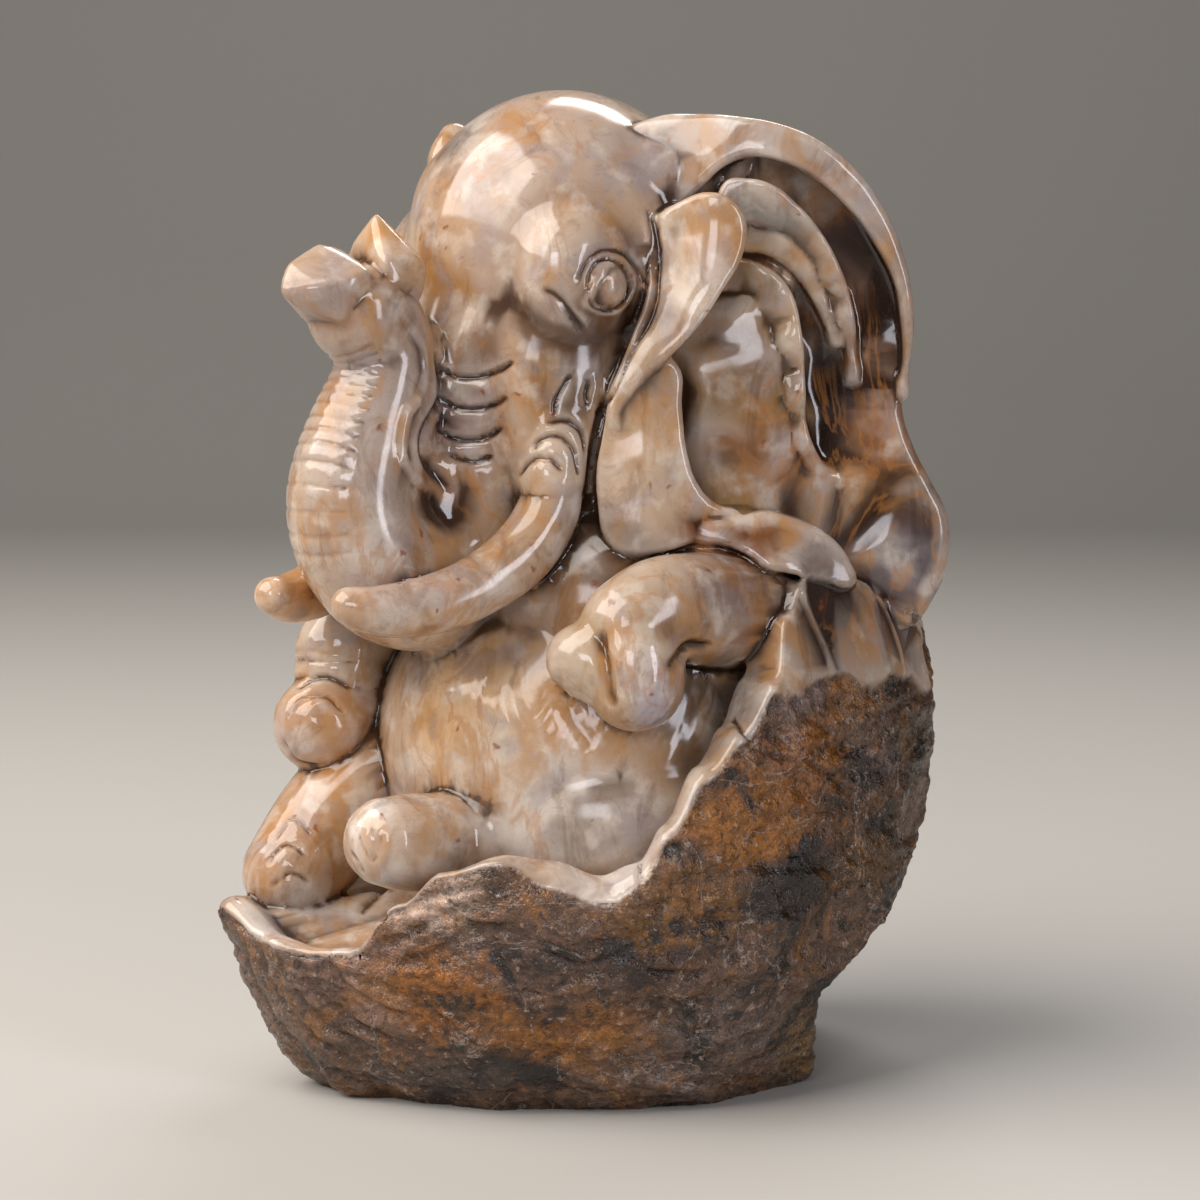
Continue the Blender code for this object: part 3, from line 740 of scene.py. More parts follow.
@dataclass
class Head:
    """Skull, cheeks, curled trunk, tusks and eyes, in the head's turned frame.

    Masses are rows of forward, side and height, then three radii. Limbs are rows of
    forward, side and height, then sideways and fore-and-aft radius, all in millimetres.
    """

    turn: Turn = HEAD_TURN
    middle: Rows = (
        (-1, 0, 150, 30, 28, 30.5),
        (-16, 0, 134, 26, 25, 40),
        (12, 0, 97, 18, 13, 12),
        (29.5, 0, 107, 12, 9, 16),
    )
    paired: Rows = (
        (9.5, 8.5, 157, 15, 14, 16),
        (8, 12.5, 127, 18.5, 13.5, 29),
        (12, 19.5, 147, 12, 9, 14),
    )
    trunk: Rows = (
        (3, 0, 153, 20, 20),
        (10, 0, 143, 18.5, 18),
        (16, 0, 131, 16.5, 16),
        (18, 0, 119, 15, 14),
        (19, 0, 108, 14.5, 13.5),
        (22.5, 0, 98.5, 14, 13.5),
        (30, 0, 93, 13.5, 13.5),
        (38.5, 0, 94, 13.5, 13),
        (45, 0, 100, 12.8, 12.2),
        (47, 0, 108, 12, 12),
        (44.2, 0, 117, 11.5, 11.5),
        (40.5, 0, 126, 10.2, 10.2),
        (39.3, 0, 132.5, 9, 9),
        (42.5, 0, 138.6, 9.2, 9.2),
        (45.6, 0, 140.2, 9.6, 9.4),
    )
    front_lip: Rows = (
        (62.8, 0, 144), (60, -1.2, 149.2), (52.4, -2.6, 152.8), (48.4, 0, 151.6), (58.8, 4.8, 144.6),
        (53, 8.4, 146.4), (48.6, 8.6, 148), (58, -5, 146), (50, -8.4, 148.4), (59, 1.6, 141.2),
        (53, 6, 138.6), (47, 6, 137.4), (53, -6.4, 138.6), (47, -8, 136.8), (43, 0, 133),
    )
    rear_lip: Rows = (
        (41.8, 0, 158.6), (45.4, 7.4, 149.4), (36.6, 8.6, 149), (34.8, 3, 150.4), (44.2, -4, 152.8), (43, -8.6, 148),
        (36, -6.4, 148.6), (43, 7.6, 143), (36.4, 7.6, 143.4), (37, -6, 142), (43, -8, 141), (40.6, 0, 134),
    )
    tusk: Rows = (
        (12, 18.5, 123, 4.6),
        (17.5, 20, 114.5, 5.1),
        (19.2, 20.6, 106, 5.6),
        (25.3, 20.6, 98.3, 5.8),
        (35, 19.4, 92.6, 5.5),
        (44, 17, 89.8, 5.2),
        (51.6, 14, 89.2, 4.5),
        (56.4, 11.6, 90.2, 3.4),
    )
    ear_root: Rows = ((0, -3, 162.6, 14), (7, -6.6, 162.8, 12.6), (13, -9, 163.6, 10.6), (19, -10.6, 165, 8.2), (26, -11, 167, 5))
    tusk_fold: Rows = ((12, 17, 127, 6), (15.3, 18.8, 121, 6.3), (17.6, 20, 115.5, 6.2), (18.9, 20.6, 110, 6))
    eye: Row = (11, 0, 145)
    ball_radii: Row = (3.5, 2.8, 3.8)
    ball_proud: float = 1.7
    lids: Rows = (
        (5.4, -3.0), (3.7, 0.4), (2.2, 3.0), (-0.6, 4.4), (-3.4, 3.4), (-5.4, 0.6), (-4.7, -1.9), (-2.6, -3.9),
        (0.2, -4.5), (3.0, -4.1), (5.4, -3.0),
    )
    lid_radius: float = 0.8

    def masses(self) -> list[Mesh]:
        """Skull, nape, jaw, brows, cheeks, trunk and tusk folds, which blend."""
        rows = list(self.middle)
        for row in self.paired:
            rows.extend(side[0] for side in on_both_sides([row]))
        forms = [mass("head mass", row, self.turn) for row in rows]
        forms.append(loft("trunk", self.turn.place(self.trunk), self.turn.side()))
        forms.append(round_limb("ear root", self.ear_root))
        forms.extend(round_limb("tusk fold", self.turn.place(rows)) for rows in on_both_sides(self.tusk_fold))
        return forms

    def tip(self, fineness: Fineness) -> list[Mesh]:
        """The trunk's tip: a front lip that points forward and a rear lip that points up."""
        lips = [cut_form("lip", self.turn.place(rows)) for rows in (self.front_lip, self.rear_lip)]
        return [skinned("trunk tip", lips, fineness.leaf, 34)]

    def tusks(self) -> list[Mesh]:
        """Both tusks."""
        return [round_limb("tusk", self.turn.place(rows)) for rows in on_both_sides(self.tusk)]

    def eyes(self, surface: Surface) -> list[Mesh]:
        """Both eyes, each a ball within a ring of lids that lies on the head's skin."""
        forms = []
        for hand in (1.0, -1.0):
            side = self.turn.side() * hand
            centre = self.turn.place([self.eye])[0]
            place = surface.hit(centre + side * 60, -side)
            ball = place + side * (self.ball_proud - self.ball_radii[1])
            inner = np.array(self.turn.place([(0, 0, 0)])[0])
            offset = ball - inner
            row = (offset @ self.turn.forward(), offset @ self.turn.side(), offset[2], *self.ball_radii)
            forms.append(mass("eyeball", row, self.turn))
            rows = []
            for forward, up in smooth_rows(self.lids, 3):
                step = self.turn.forward() * forward + np.array((0, 0, up))
                on_skin = surface.hit(place + step + side * 30, -side)
                rows.append((*on_skin, self.lid_radius))
            forms.append(round_limb("eyelids", rows))
        return forms


@dataclass
class NearEar:
    """The broad near ear: a hollowed fan with a rolled rim and the folds that lie on it.

    Each is a leaf that is cut to an outline of x and z as the viewer sees it.
    """

    fan: Plate = Plate(
        "ear fan",
        (
            (8, 168), (19, 174), (29, 173.8), (38, 171.2), (46, 166), (52, 159.4),
            (56.4, 152.5), (59.2, 144), (59.6, 135), (58.2, 128), (57.9, 122), (59.8, 116),
            (63, 109.6), (66, 103.6), (66.2, 95), (64, 88.5), (59, 83), (52, 86),
            (44, 92), (34, 98), (20, 100), (10, 104), (6, 116), (4, 134), (4, 152),
        ),
        (
            (12, 162, -14), (14, 145, -14), (12, 125, -16), (14, 108, -17), (24, 146, -13), (30, 153, -13),
            (33, 147, -16), (25, 138, -16.5), (29, 138, -18.5), (27, 130, -19), (27, 121, -19.5), (31, 112, -19), (33, 130, -19.5),
            (35, 120, -19), (25, 112, -18.4), (30, 104, -18), (39, 107, -16.6), (41, 139, -13.6), (43, 128, -13.4), (44, 119, -14),
            (46, 148, -12), (44, 156, -12), (51, 150, -12), (52, 140, -12), (52, 130, -13), (56.5, 130, -13), (52, 120, -14),
            (57, 116, -14.6), (62, 104, -15.4), (58, 96, -16.5), (63, 94, -15), (54, 88, -15), (49, 105, -15),
        ),
        8.0,
        2.2,
        4.6,
    )
    rim: Plate = Plate(
        "ear rim",
        (
            (6, 171), (13, 175), (21, 175.5), (28, 174.9), (35, 173.6), (42.2, 170.6), (48.7, 165.4), (53.7, 158.8),
            (57.1, 151.4), (58.9, 144), (59.5, 137), (58.9, 130), (57.6, 124), (56.8, 126), (57.5, 131.5),
            (57, 138.7), (55.6, 145.9), (52.2, 152.2), (47.4, 158.4), (41, 164), (35, 166.9), (29.4, 167.6),
            (24.8, 165.8), (21.8, 163), (18, 159.6), (13, 157), (6, 157),
        ),
        (
            (5, 168, -10), (5, 160, -13), (12, 160, -17.6), (13, 169, -16.6), (20, 170, -19.2), (18.6, 162.6, -20.4), (24.4, 167, -21.2),
            (30, 168.6, -22.8), (36, 168, -22.6), (42, 164.8, -22), (48, 159.6, -21.2), (52.8, 153, -20.4), (56.2, 146, -19),
            (57.6, 138, -17.4), (58, 131, -15.6), (57.6, 125, -13.5), (18, 175, -12), (30, 174, -18.2), (42, 170.4, -18.5),
            (49, 165, -18), (54, 158.4, -17.4), (57.6, 150, -16.6),
        ),
        7.0,
        1.3,
        7.0,
    )
    flap: Plate = Plate(
        "ear flap",
        (
            (12.4, 156), (17.5, 160), (22.9, 161.4), (27, 159.4), (28.9, 155.5), (28, 150), (24.6, 144.2), (20.4, 138),
            (16, 133.2), (10.4, 128.2), (6.6, 123), (5.4, 119.6), (4.2, 121), (4.4, 125.4), (6.2, 130), (8.8, 136.5),
            (11.2, 143.5), (12, 150),
        ),
        (
            (12.4, 156, -20.6), (12.6, 149, -22), (10.6, 141, -23.4), (7.4, 132, -25), (4.8, 125, -27), (16, 155.5, -24),
            (16, 148, -25.6), (13.4, 140, -27.2), (9.4, 132.5, -29), (21, 156, -26.8), (20.6, 149.6, -28), (17.4, 142, -29.4),
            (13.6, 135.6, -30.8), (8.6, 129, -31.6), (26.6, 156.4, -27.6), (25.6, 150, -28.8), (22.4, 143.6, -30.4), (17.6, 137, -31.6),
            (11.6, 131, -32.2), (6.4, 124, -31.6), (5.2, 120.5, -30), (28.8, 155.5, -25.6), (27.2, 149, -27.2), (23.4, 142.4, -28.8),
        ),
        5.0,
        0.8,
        4.6,
    )
    lobe: Plate = Plate(
        "ear lobe",
        (
            (9, 130), (6, 126), (3.2, 120.6), (2.4, 114.3), (2.6, 106.4), (4.2, 100), (8, 97.6), (12, 97.8),
            (16.5, 98.8), (22, 100.8), (28.4, 102.6), (28, 104.8), (23.8, 106.4), (20.6, 109.6), (18.4, 115.6),
            (17.5, 123.6), (16.8, 131), (13, 133),
        ),
        (
            (3, 121, -28), (2.4, 114, -28.6), (2.6, 107, -29), (4.4, 100, -30), (7, 122, -29.6), (6.4, 111, -30.8), (8.4, 101, -32),
            (11, 124, -29.6), (12, 114, -30.8), (12, 105, -31.2), (11, 98.6, -32.6), (16, 124, -28.4), (16.8, 114, -29.4),
            (17.6, 107, -29.6), (17, 100.4, -31.4), (24, 103.6, -28.4),
        ),
        6.0,
        0.9,
        5.5,
    )
    collar: Plate = Plate(
        "collar",
        (
            (14, 101.4), (18.5, 103.3), (25.8, 104), (32.2, 105.1), (36.6, 104.2), (41.3, 102.2), (44.8, 99.9),
            (47.4, 96.3), (48.4, 92), (42, 93), (36, 94.6), (32.6, 95.2), (29.3, 97.5), (24.9, 99.2), (19.4, 99.8),
        ),
        (
            (15, 101.4, -29.6), (20, 103, -28.6), (22, 100.6, -31.4), (27, 103.8, -27.6), (28, 100, -32), (33, 104.8, -26.4),
            (33, 100, -32), (33.6, 95.6, -35), (38, 103.6, -25), (39, 98.6, -31), (38, 94.4, -34.6), (44, 100, -23.6),
            (44, 96.4, -28.6), (47.6, 95, -24), (44, 92.6, -31), (25, 99, -33.6), (47, 92.4, -27),
        ),
        7.0,
        1.0,
        5.5,
    )
    outer_fold: Plate = Plate(
        "outer ear fold",
        (
            (25, 163.2), (29.4, 163.9), (33.6, 162.8), (37.6, 159.8), (42.2, 154.8), (46, 148.2), (48.5, 140.8), (49.2, 134),
            (48.4, 127), (47.4, 132), (46, 138.2), (43, 145), (39.2, 150.8), (34.6, 154.6), (30, 156), (25, 157),
        ),
        (
            (26, 160, -21), (33, 160.4, -22.4), (37.4, 157.4, -21.8), (42, 152, -20), (45.4, 146.4, -18.6), (47.4, 139, -17),
            (48.4, 131, -14.6), (30.6, 156.4, -18.6), (36, 153.8, -17.6), (40, 149.4, -16), (44, 142, -14.4), (46.4, 135.6, -13.8),
        ),
        5.0,
        0.6,
        3.4,
    )
    middle_fold: Plate = Plate(
        "middle ear fold",
        (
            (28, 154.8), (32, 155.2), (36.6, 153.4), (40.8, 148.6), (44, 141.8), (45.8, 133.6), (43.2, 138.4), (40, 144),
            (36.2, 148.4), (32, 150.6), (28, 151.4),
        ),
        (
            (30, 153.4, -18), (34, 152.8, -19.4), (38.6, 149, -19), (42, 143, -17.4), (45, 136, -15), (32, 151, -15.6), (37, 147.6, -15),
            (41, 141.6, -14.4),
        ),
        4.0,
        0.5,
        2.8,
    )
    inner_fold: Plate = Plate(
        "inner ear fold",
        (
            (23, 150), (28.6, 149.8), (33.8, 147.6), (37.2, 143.8), (39, 137), (39.8, 127), (40.2, 120), (42.8, 113.8),
            (47.2, 108.4), (41.6, 110.8), (37.8, 116.6), (36.2, 125), (35, 134), (32, 139.6), (27.6, 143.4), (23, 145),
        ),
        (
            (25, 147.6, -15), (31, 146, -17.6), (35.4, 142, -20), (37.8, 135, -20.8), (38.6, 126, -20.6), (39.2, 119, -19.4),
            (41.4, 113.6, -17.6), (45.4, 109.8, -15.4), (28, 144, -15), (32.6, 139, -17.4), (35.4, 130, -18.2), (36.8, 120, -17.4),
        ),
        5.0,
        0.6,
        3.4,
    )

    def forms(self, fineness: Fineness) -> list[Mesh]:
        """The whole near ear."""
        folds = (self.outer_fold, self.middle_fold, self.inner_fold)
        leaves = (self.fan, self.rim, self.flap, self.lobe, self.collar, *folds)
        return [leaf.build(fineness.leaf) for leaf in leaves]


@dataclass
class FarEar:
    """The far ear, laid back along the head: forward, side, height, depth and breadth."""

    turn: Turn = HEAD_TURN
    leaf: Rows = (
        (4, -22, 167, 5, 6),
        (-5, -26, 160, 6, 14),
        (-12, -29, 147, 6.5, 20),
        (-16, -30.5, 132, 6.5, 21),
        (-18, -31.5, 117, 6, 16),
        (-17, -31.5, 105, 5, 8),
    )
    tip: Rows = ((8, -20, 161, 4.4, 6), (6, -23, 166.6, 4.4, 6.4), (3.4, -24.4, 171, 3.4, 5.4))
    rib: Rows = ((4, -24.5, 167, 4, 4), (-2, -30, 158, 4, 3.6), (-5, -33.5, 146, 4, 3.4), (-8, -35, 132, 3.6, 3), (-11, -35, 118, 2.6, 2.4))

    def forms(self) -> list[Mesh]:
        """The far ear with its fold and its front rib."""
        out = -self.turn.side()
        made = [loft("far ear", self.turn.place(rows), out, Section.SOFT_LENS) for rows in (self.leaf, self.rib)]
        made.append(loft("far ear fold", self.turn.place(self.tip), out))
        return made


@dataclass
class Body:
    """Belly, chest, back, shoulders and limbs. Limbs are rows of x, y, z and radius."""

    turn: Turn = BODY_TURN
    torso: Rows = (
        (6, -2, 60, 40, 41, 38),
        (10, 6, 50, 34, 36, 23),
        (6, 0, 86, 30, 32, 26),
        (-16, 0, 96, 24, 34, 44),
    )
    shoulder: Row = (-2, 27, 88, 19, 14, 17)
    near_arm: Rows = (
        (40, -16, 86, 9), (32, -22, 87, 10), (25, -28, 87.5, 10.4), (18.5, -34, 88.5, 10),
        (13, -38.5, 88.8, 9.2), (8, -41.5, 86.5, 8.6),
    )
    near_hand: Rows = ((8.2, -42, 85, 8.2), (9, -43.5, 80.5, 8.8), (9.2, -44, 76.8, 8.8))
    near_thumb: Rows = ((9, -43, 78.5, 7.8), (4, -43.2, 79.2, 7.2), (0, -43, 80.6, 6.6))
    far_arm: Rows = ((-31, 8, 86, 9), (-38, 2, 82.5, 9), (-44.5, -3, 78, 8.8), (-45.2, -4, 72, 8.4))
    far_fist: Rows = ((-42, 1, 70, 8.6), (-45.5, -4.5, 67, 9), (-48.4, -9, 64.4, 8.9))
    near_leg: Rows = (
        (-8, -18, 44, 11), (-17, -26, 45.5, 10), (-26, -34, 46.8, 9), (-31.5, -39, 47.8, 8.6), (-34, -41.6, 48.4, 8),
    )
    thighs: tuple[Rows, ...] = (
        ((-2, -14, 45, 14), (-12, -24, 45.6, 12), (-20, -31, 46.6, 9.6), (-26, -36, 47, 6)),
        ((-12, 8, 57, 19), (-26, 1, 55, 15.4), (-37, -4.6, 52, 10)),
    )
    far_leg: Rows = ((-22, 4, 56, 16), (-36, -3, 53, 13.5), (-45, -9, 48, 11), (-50, -13.5, 42, 10.2), (-53, -17, 38.5, 9.4))

    def masses(self) -> list[Mesh]:
        """The torso's masses, which blend with the head's."""
        rows = [*self.torso, *(side[0] for side in on_both_sides([self.shoulder]))]
        forms = [mass("torso", row, self.turn) for row in rows]
        forms.extend(round_limb("thigh", thigh) for thigh in self.thighs)
        return forms

    def limbs(self, fineness: Fineness) -> list[Mesh]:
        """Arms with their hands and legs with their soles, each blended in itself."""
        groups = ((self.near_arm, self.near_hand, self.near_thumb), (self.far_arm,), (self.far_fist,), (self.near_leg,), (self.far_leg,))
        made = []
        for rows in groups:
            forms = [round_limb("limb", row) for row in rows]
            made.append(skinned("limb", forms, fineness.blend, 8) if len(rows) > 1 else forms[0])
        return made


@dataclass
class Boulder:
    """The boulder: a flared wall up to the rim, a ledge in from it and a seat.

    Plan, rim and ledge are rows of degrees seen from above and a value. The flare is rows
    of height and share, and the foot's cut rows of height and furthest x.
    """

    plan: Rows = (
        (0, 67), (18, 66), (38, 62), (60, 57), (90, 52), (120, 51), (150, 48), (172, 50),
        (190, 60), (204, 71), (214, 69), (226, 62), (244, 57), (262, 54), (280, 54.5),
        (300, 55), (318, 56), (338, 61),
    )
    rim: Rows = (
        (0, 83), (14, 85), (34, 91), (60, 97), (90, 92), (120, 74), (150, 52), (172, 38),
        (190, 31.5), (204, 36), (213, 31), (221, 29.3), (228, 30), (236, 38.5), (244, 44.5),
        (255, 47.6), (264, 46.2), (274, 43.6), (281, 46), (286, 53), (293, 62.5), (301, 69),
        (309, 77), (315, 88), (321, 94), (334, 93.5), (348, 86.5),
    )
    ledge: Rows = (
        (0, 0.45), (60, 0.5), (110, 0.75), (150, 0.88), (200, 0.93), (240, 0.92), (285, 0.9), (310, 0.8), (335, 0.5),
    )
    flare: Rows = ((0, 0.0), (2, 0.2), (6, 0.45), (14, 0.7), (25, 0.9), (36, 1.0), (60, 1.0), (100, 0.93))
    foot_share: float = 0.74
    foot_cut: Rows = ((0, 42.5), (18.5, 43.5), (25, 50), (34, 56.8), (43, 62.6), (60, 66.2), (75, 64.5), (100, 61))
    seat_height: float = 38.0
    seat_drop: float = 3.0
    below: float = -4.0
    lump: float = 1.6
    lump_scale: float = 26.0
    bevel: Rows = (
        (0, 3), (60, 3), (120, 3), (170, 2.4), (196, 3), (214, 2.6), (226, 2.2), (244, 2), (256, 3), (264, 6), (276, 6.5),
        (284, 4), (298, 4), (310, 3), (322, 2.4), (340, 3),
    )
    facets: tuple[tuple[Row, Row], ...] = (
        ((48.5, -27.5, 80), (0.64, -0.71, 0.29)),
        ((59, -15, 76), (0.86, -0.41, 0.3)),
    )

    def rings(self) -> tuple[list[np.ndarray], int]:
        """The boulder's rings of points, from below the foot to the seat.

        Returns:
            The rings, and how many of them belong to the outer wall.
        """
        around = np.arange(0, 360, 1.5)
        widest, rim, ledge = (ring_values(rows, around) for rows in (self.plan, self.rim, self.ledge))
        flare, cut = np.array(self.flare, float), np.array(self.foot_cut, float)
        cosine, sine = np.cos(np.radians(around)), np.sin(np.radians(around))

        def ring(radius: np.ndarray, height: np.ndarray) -> np.ndarray:
            x = np.minimum(radius * cosine, np.interp(height, cut[:, 0], cut[:, 1]))
            points = np.column_stack([x, radius * sine, height])
            out = np.column_stack([cosine, sine, np.zeros(len(around))])
            lumps = [noise.fractal(Vector(p) / self.lump_scale, 0.9, 2.1, 3) for p in points]
            return points + out * np.array(lumps)[:, None] * self.lump

        def wall(height: np.ndarray) -> np.ndarray:
            share = np.interp(height, flare[:, 0], flare[:, 1])
            return widest * (self.foot_share + (1 - self.foot_share) * share)

        base = np.full(len(around), self.below)
        bevel = ring_values(self.bevel, around)
        edge = rim - 0.75 * bevel
        made = [ring(wall(height), height) for height in (base + (edge - base) * s for s in np.linspace(0, 1, 44))]
        outer = len(made)
        top = wall(edge)
        seat = np.minimum(rim - self.seat_drop, self.seat_height + 0.35 * (rim - self.seat_height))
        made.append(ring(top - 0.4 * bevel, edge + 0.55 * bevel))
        made.append(ring(top - 0.95 * bevel, rim))
        inner = np.minimum(top * ledge, top - 1.3 * bevel)
        made.append(ring(inner, rim - 0.4))
        made.append(ring(inner * 0.94, seat))
        made.append(ring(top * ledge * 0.5, seat * 0.5 + self.seat_height * 0.5))
        return made, outer

    def stone(self) -> Mesh:
        """The closed boulder with its flat facets."""
        rings = self.rings()[0]
        for place, facing in self.facets:
            normal = np.array(facing, float) / np.linalg.norm(facing)
            for ring in rings:
                proud = np.maximum((ring - np.array(place)) @ normal, 0)
                ring -= proud[:, None] * normal
        bm = bmesh.new()
        joined_rings(bm, [[bm.verts.new(p) for p in ring] for ring in rings])
        return new_mesh("boulder", bm)

    def wall(self) -> Mesh:
        """The open outer wall, without its polished bevel and facets."""
        rings, outer = self.rings()
        bm = bmesh.new()
        joined_rings(bm, [[bm.verts.new(p) for p in ring] for ring in rings[:outer]], capped=False)
        return new_mesh("outer wall", bm)


@dataclass(frozen=True)
class LineGroup:
    """Lines of one width, cut into the stone or raised on it from the display side.

    Attributes:
        name: What the lines are.
        depth: How deep they are cut, in millimetres. Below zero they stand proud.
        width: How far they reach to each side, in millimetres.
        lines: Each line's points as x and z, in millimetres.
    """

    name: str
    depth: float
    width: float
    lines: tuple[Rows, ...]

    def paths(self, surface: Surface) -> list[np.ndarray]:
        """The lines on the skin, lifted off it at their ends so that they run out.

        Args:
            surface: The skin that they are laid on.

        Returns:
            Paths of points, in millimetres.
        """
        paths = []
        for line in self.lines:
            points = []
            samples = smooth_rows(line, 10)
            for i, (x, z) in enumerate(samples):
                place = surface.hit((x, -150.0, z), (0.0, 1.0, 0.0))
                if place is None:
                    continue
                share = i / (len(samples) - 1)
                lift = self.width * 0.9 * (1 - math.sin(math.pi * min(1.0, max(0.0, share)))) ** 3
                points.append(place + np.array((0.0, -lift, 0.0)))
            if len(points) > 1:
                paths.append(np.array(points))
        return paths


CUT_LINES = (
    LineGroup("trunk folds", 1.1, 1.0, (
        ((-24.6, 130.4), (-22.6, 128.9), (-18.5, 128.9), (-14.8, 130.2), (-12.6, 131.8)),
        ((-24.8, 125), (-22.8, 123.5), (-19, 123.2), (-16, 124), (-13.8, 125.4)),
        ((-25, 119.4), (-22.8, 118), (-19.4, 117.7), (-16.8, 118.4), (-14.8, 119.8)),
        ((-23.4, 115.4), (-21.2, 114.2), (-18.6, 114), (-16.2, 114.8)),
    )),
    LineGroup("trunk keel", -0.5, 1.5, (
        ((-30.5, 139.5), (-28.2, 135), (-27.6, 130), (-28.4, 126), (-30.5, 122.6), (-31.3, 116), (-29.4, 112), (-26.4, 108.6)),
    )),
    LineGroup("trunk hollow", 0.9, 2.2, (
        ((-24.9, 132.2), (-25.2, 125.2), (-27.9, 118.8), (-27.2, 113.6), (-23.2, 109.2)),
    )),
    LineGroup("tusk folds", 0.8, 1.1, (
        ((-9.4, 116.6), (-7, 118.4), (-4, 118.6), (-1.6, 116.4), (-0.4, 112.4)),
        ((-6.4, 121.2), (-3, 121.4), (-0.4, 119.6), (0.8, 116.2)),
        ((-11.6, 112), (-9, 114.6), (-6, 114.8), (-3.4, 112.8)),
    )),
    LineGroup("eye rim", 0.6, 0.6, (
        ((1.0, 143.4), (1.1, 146.6), (2.6, 149.2), (5, 149.6), (7.3, 147.7), (7.9, 144.6), (6.9, 141.8), (4.6, 140.6), (2.2, 141.2), (1.0, 143.4)),
    )),
    LineGroup("lid folds", 0.7, 0.8, (
        ((-0.9, 144.9), (0.6, 148.8), (3.4, 151.2), (7, 150.8), (9.6, 148), (11, 145)),
    )),
    LineGroup("tear crease", 1.0, 1.1, (
        ((-7.2, 144.4), (-4.2, 142.8), (-1.8, 139.6), (0.2, 137)),
    )),
    LineGroup("cheek slit", 0.8, 0.7, (
        ((-2, 129.6), (-3.6, 127.2), (-4.9, 124.8), (-5.2, 122)),
        ((1.2, 128.6), (0.6, 126), (0.9, 124)),
    )),
    LineGroup("face edge", 1.3, 1.5, (
        ((12.2, 158), (13, 152), (13, 147), (12.6, 142.6), (11.2, 138.6), (8.8, 134.8), (6.2, 129.4), (3.6, 123), (2, 116), (1, 108)),
    )),
    LineGroup("sole lines", 0.4, 0.7, (
        ((-39.2, 51.4), (-38, 48.6), (-36.4, 46.4), (-35.2, 48.8), (-34.6, 52)),
        ((-36.4, 52.4), (-35.8, 49.6), (-36.4, 46.4)),
        ((-40.4, 47.6), (-39, 46), (-38, 43.6)),
        ((-56, 45.4), (-52.6, 49), (-49, 46.4)),
        ((-57, 41.4), (-53.4, 44.6), (-49.4, 42.4)),
        ((-56.4, 37.4), (-52.6, 39.8), (-49, 38)),
    )),
    LineGroup("hand valleys", 1.3, 2.2, (
        ((2.6, 86), (3.7, 82), (4.3, 78), (4.8, 73.6)),
        ((15.8, 80.6), (18.4, 82.8), (21.8, 82)),
    )),
    LineGroup("far hand lines", 0.6, 1.0, (
        ((-52, 72), (-47.4, 73.6), (-42.6, 71.8)),
        ((-54.4, 66.4), (-51.4, 69.8), (-47, 70.4), (-43.4, 67.6)),
        ((-55, 62), (-52.6, 58.6), (-48.6, 57.4)),
    )),
    LineGroup("belly folds", 0.3, 2.2, (
        ((-14, 82), (-12, 72), (-8, 63)),
        ((-5, 80), (-2, 71), (2, 65)),
    )),
    LineGroup("facet edges", -0.35, 1.3, (
        ((38.6, 96), (39.4, 89), (42.8, 81), (46.6, 71.6), (51.8, 67.4)),
        ((52, 91), (54.6, 86.2), (57.4, 79), (58.8, 70)),
        ((54.8, 88), (58, 85), (61.4, 82.4), (64, 77)),
    )),
    LineGroup("stone cracks", 0.8, 0.8, (
        ((1.3, 39.9), (5.6, 39.8), (9.9, 38.8), (14, 39.2), (20.3, 37.1), (26, 36.9), (30.8, 35.4), (38, 36.4), (46.9, 35.1), (54, 36.8)),
        ((9.6, 46), (10, 40), (9.2, 33), (10.6, 28)),
        ((-16, 33), (-8, 31.6), (0, 29), (7, 30.6), (14, 27), (24, 28.6)),
        ((-30, 22), (-20, 15), (-14, 8)),
        ((26, 70), (33, 64), (40, 62), (49, 55), (58, 52)),
    )),
    LineGroup("rind layers", 0.9, 1.7, (
        ((-61.5, 30), (-59, 20), (-53, 11), (-44, 4.6)),
        ((-58.5, 31), (-56, 22), (-49, 13), (-39, 6.4)),
        ((-55, 29.6), (-52, 22), (-45, 14.6), (-34, 9)),
        ((-51, 28), (-47, 21), (-40, 15.6), (-30, 12)),
        ((-46, 28.4), (-41, 22.6), (-34, 19), (-26, 18)),
        ((-40, 33), (-34, 36.6), (-26, 40.4), (-17, 42.6)),
        ((-38, 30), (-31, 33), (-22, 38), (-14, 39.4)),
        ((-35, 27.4), (-27, 29.6), (-19, 34.4), (-11, 35.4)),
    )),
)


@dataclass(frozen=True)
class Stain:
    """A cloud of colour in the stone.

    Attributes:
        centre: Its middle, in millimetres.
        reach: How far it goes along x, y and z, in millimetres.
        colour: Its sRGB hex colour.
        strength: How much of it covers, from 0 to 1.
    """

    centre: Row
    reach: Row
    colour: str
    strength: float = 0.85


def linear(colour: str) -> tuple[float, float, float, float]:
    """Turns an sRGB hex colour to linear values with an alpha of 1."""
    channels = [int(colour[i : i + 2], 16) / 255 for i in (1, 3, 5)]
    turned = [c / 12.92 if c <= 0.04045 else ((c + 0.055) / 1.055) ** 2.4 for c in channels]
    return (*turned, 1.0)


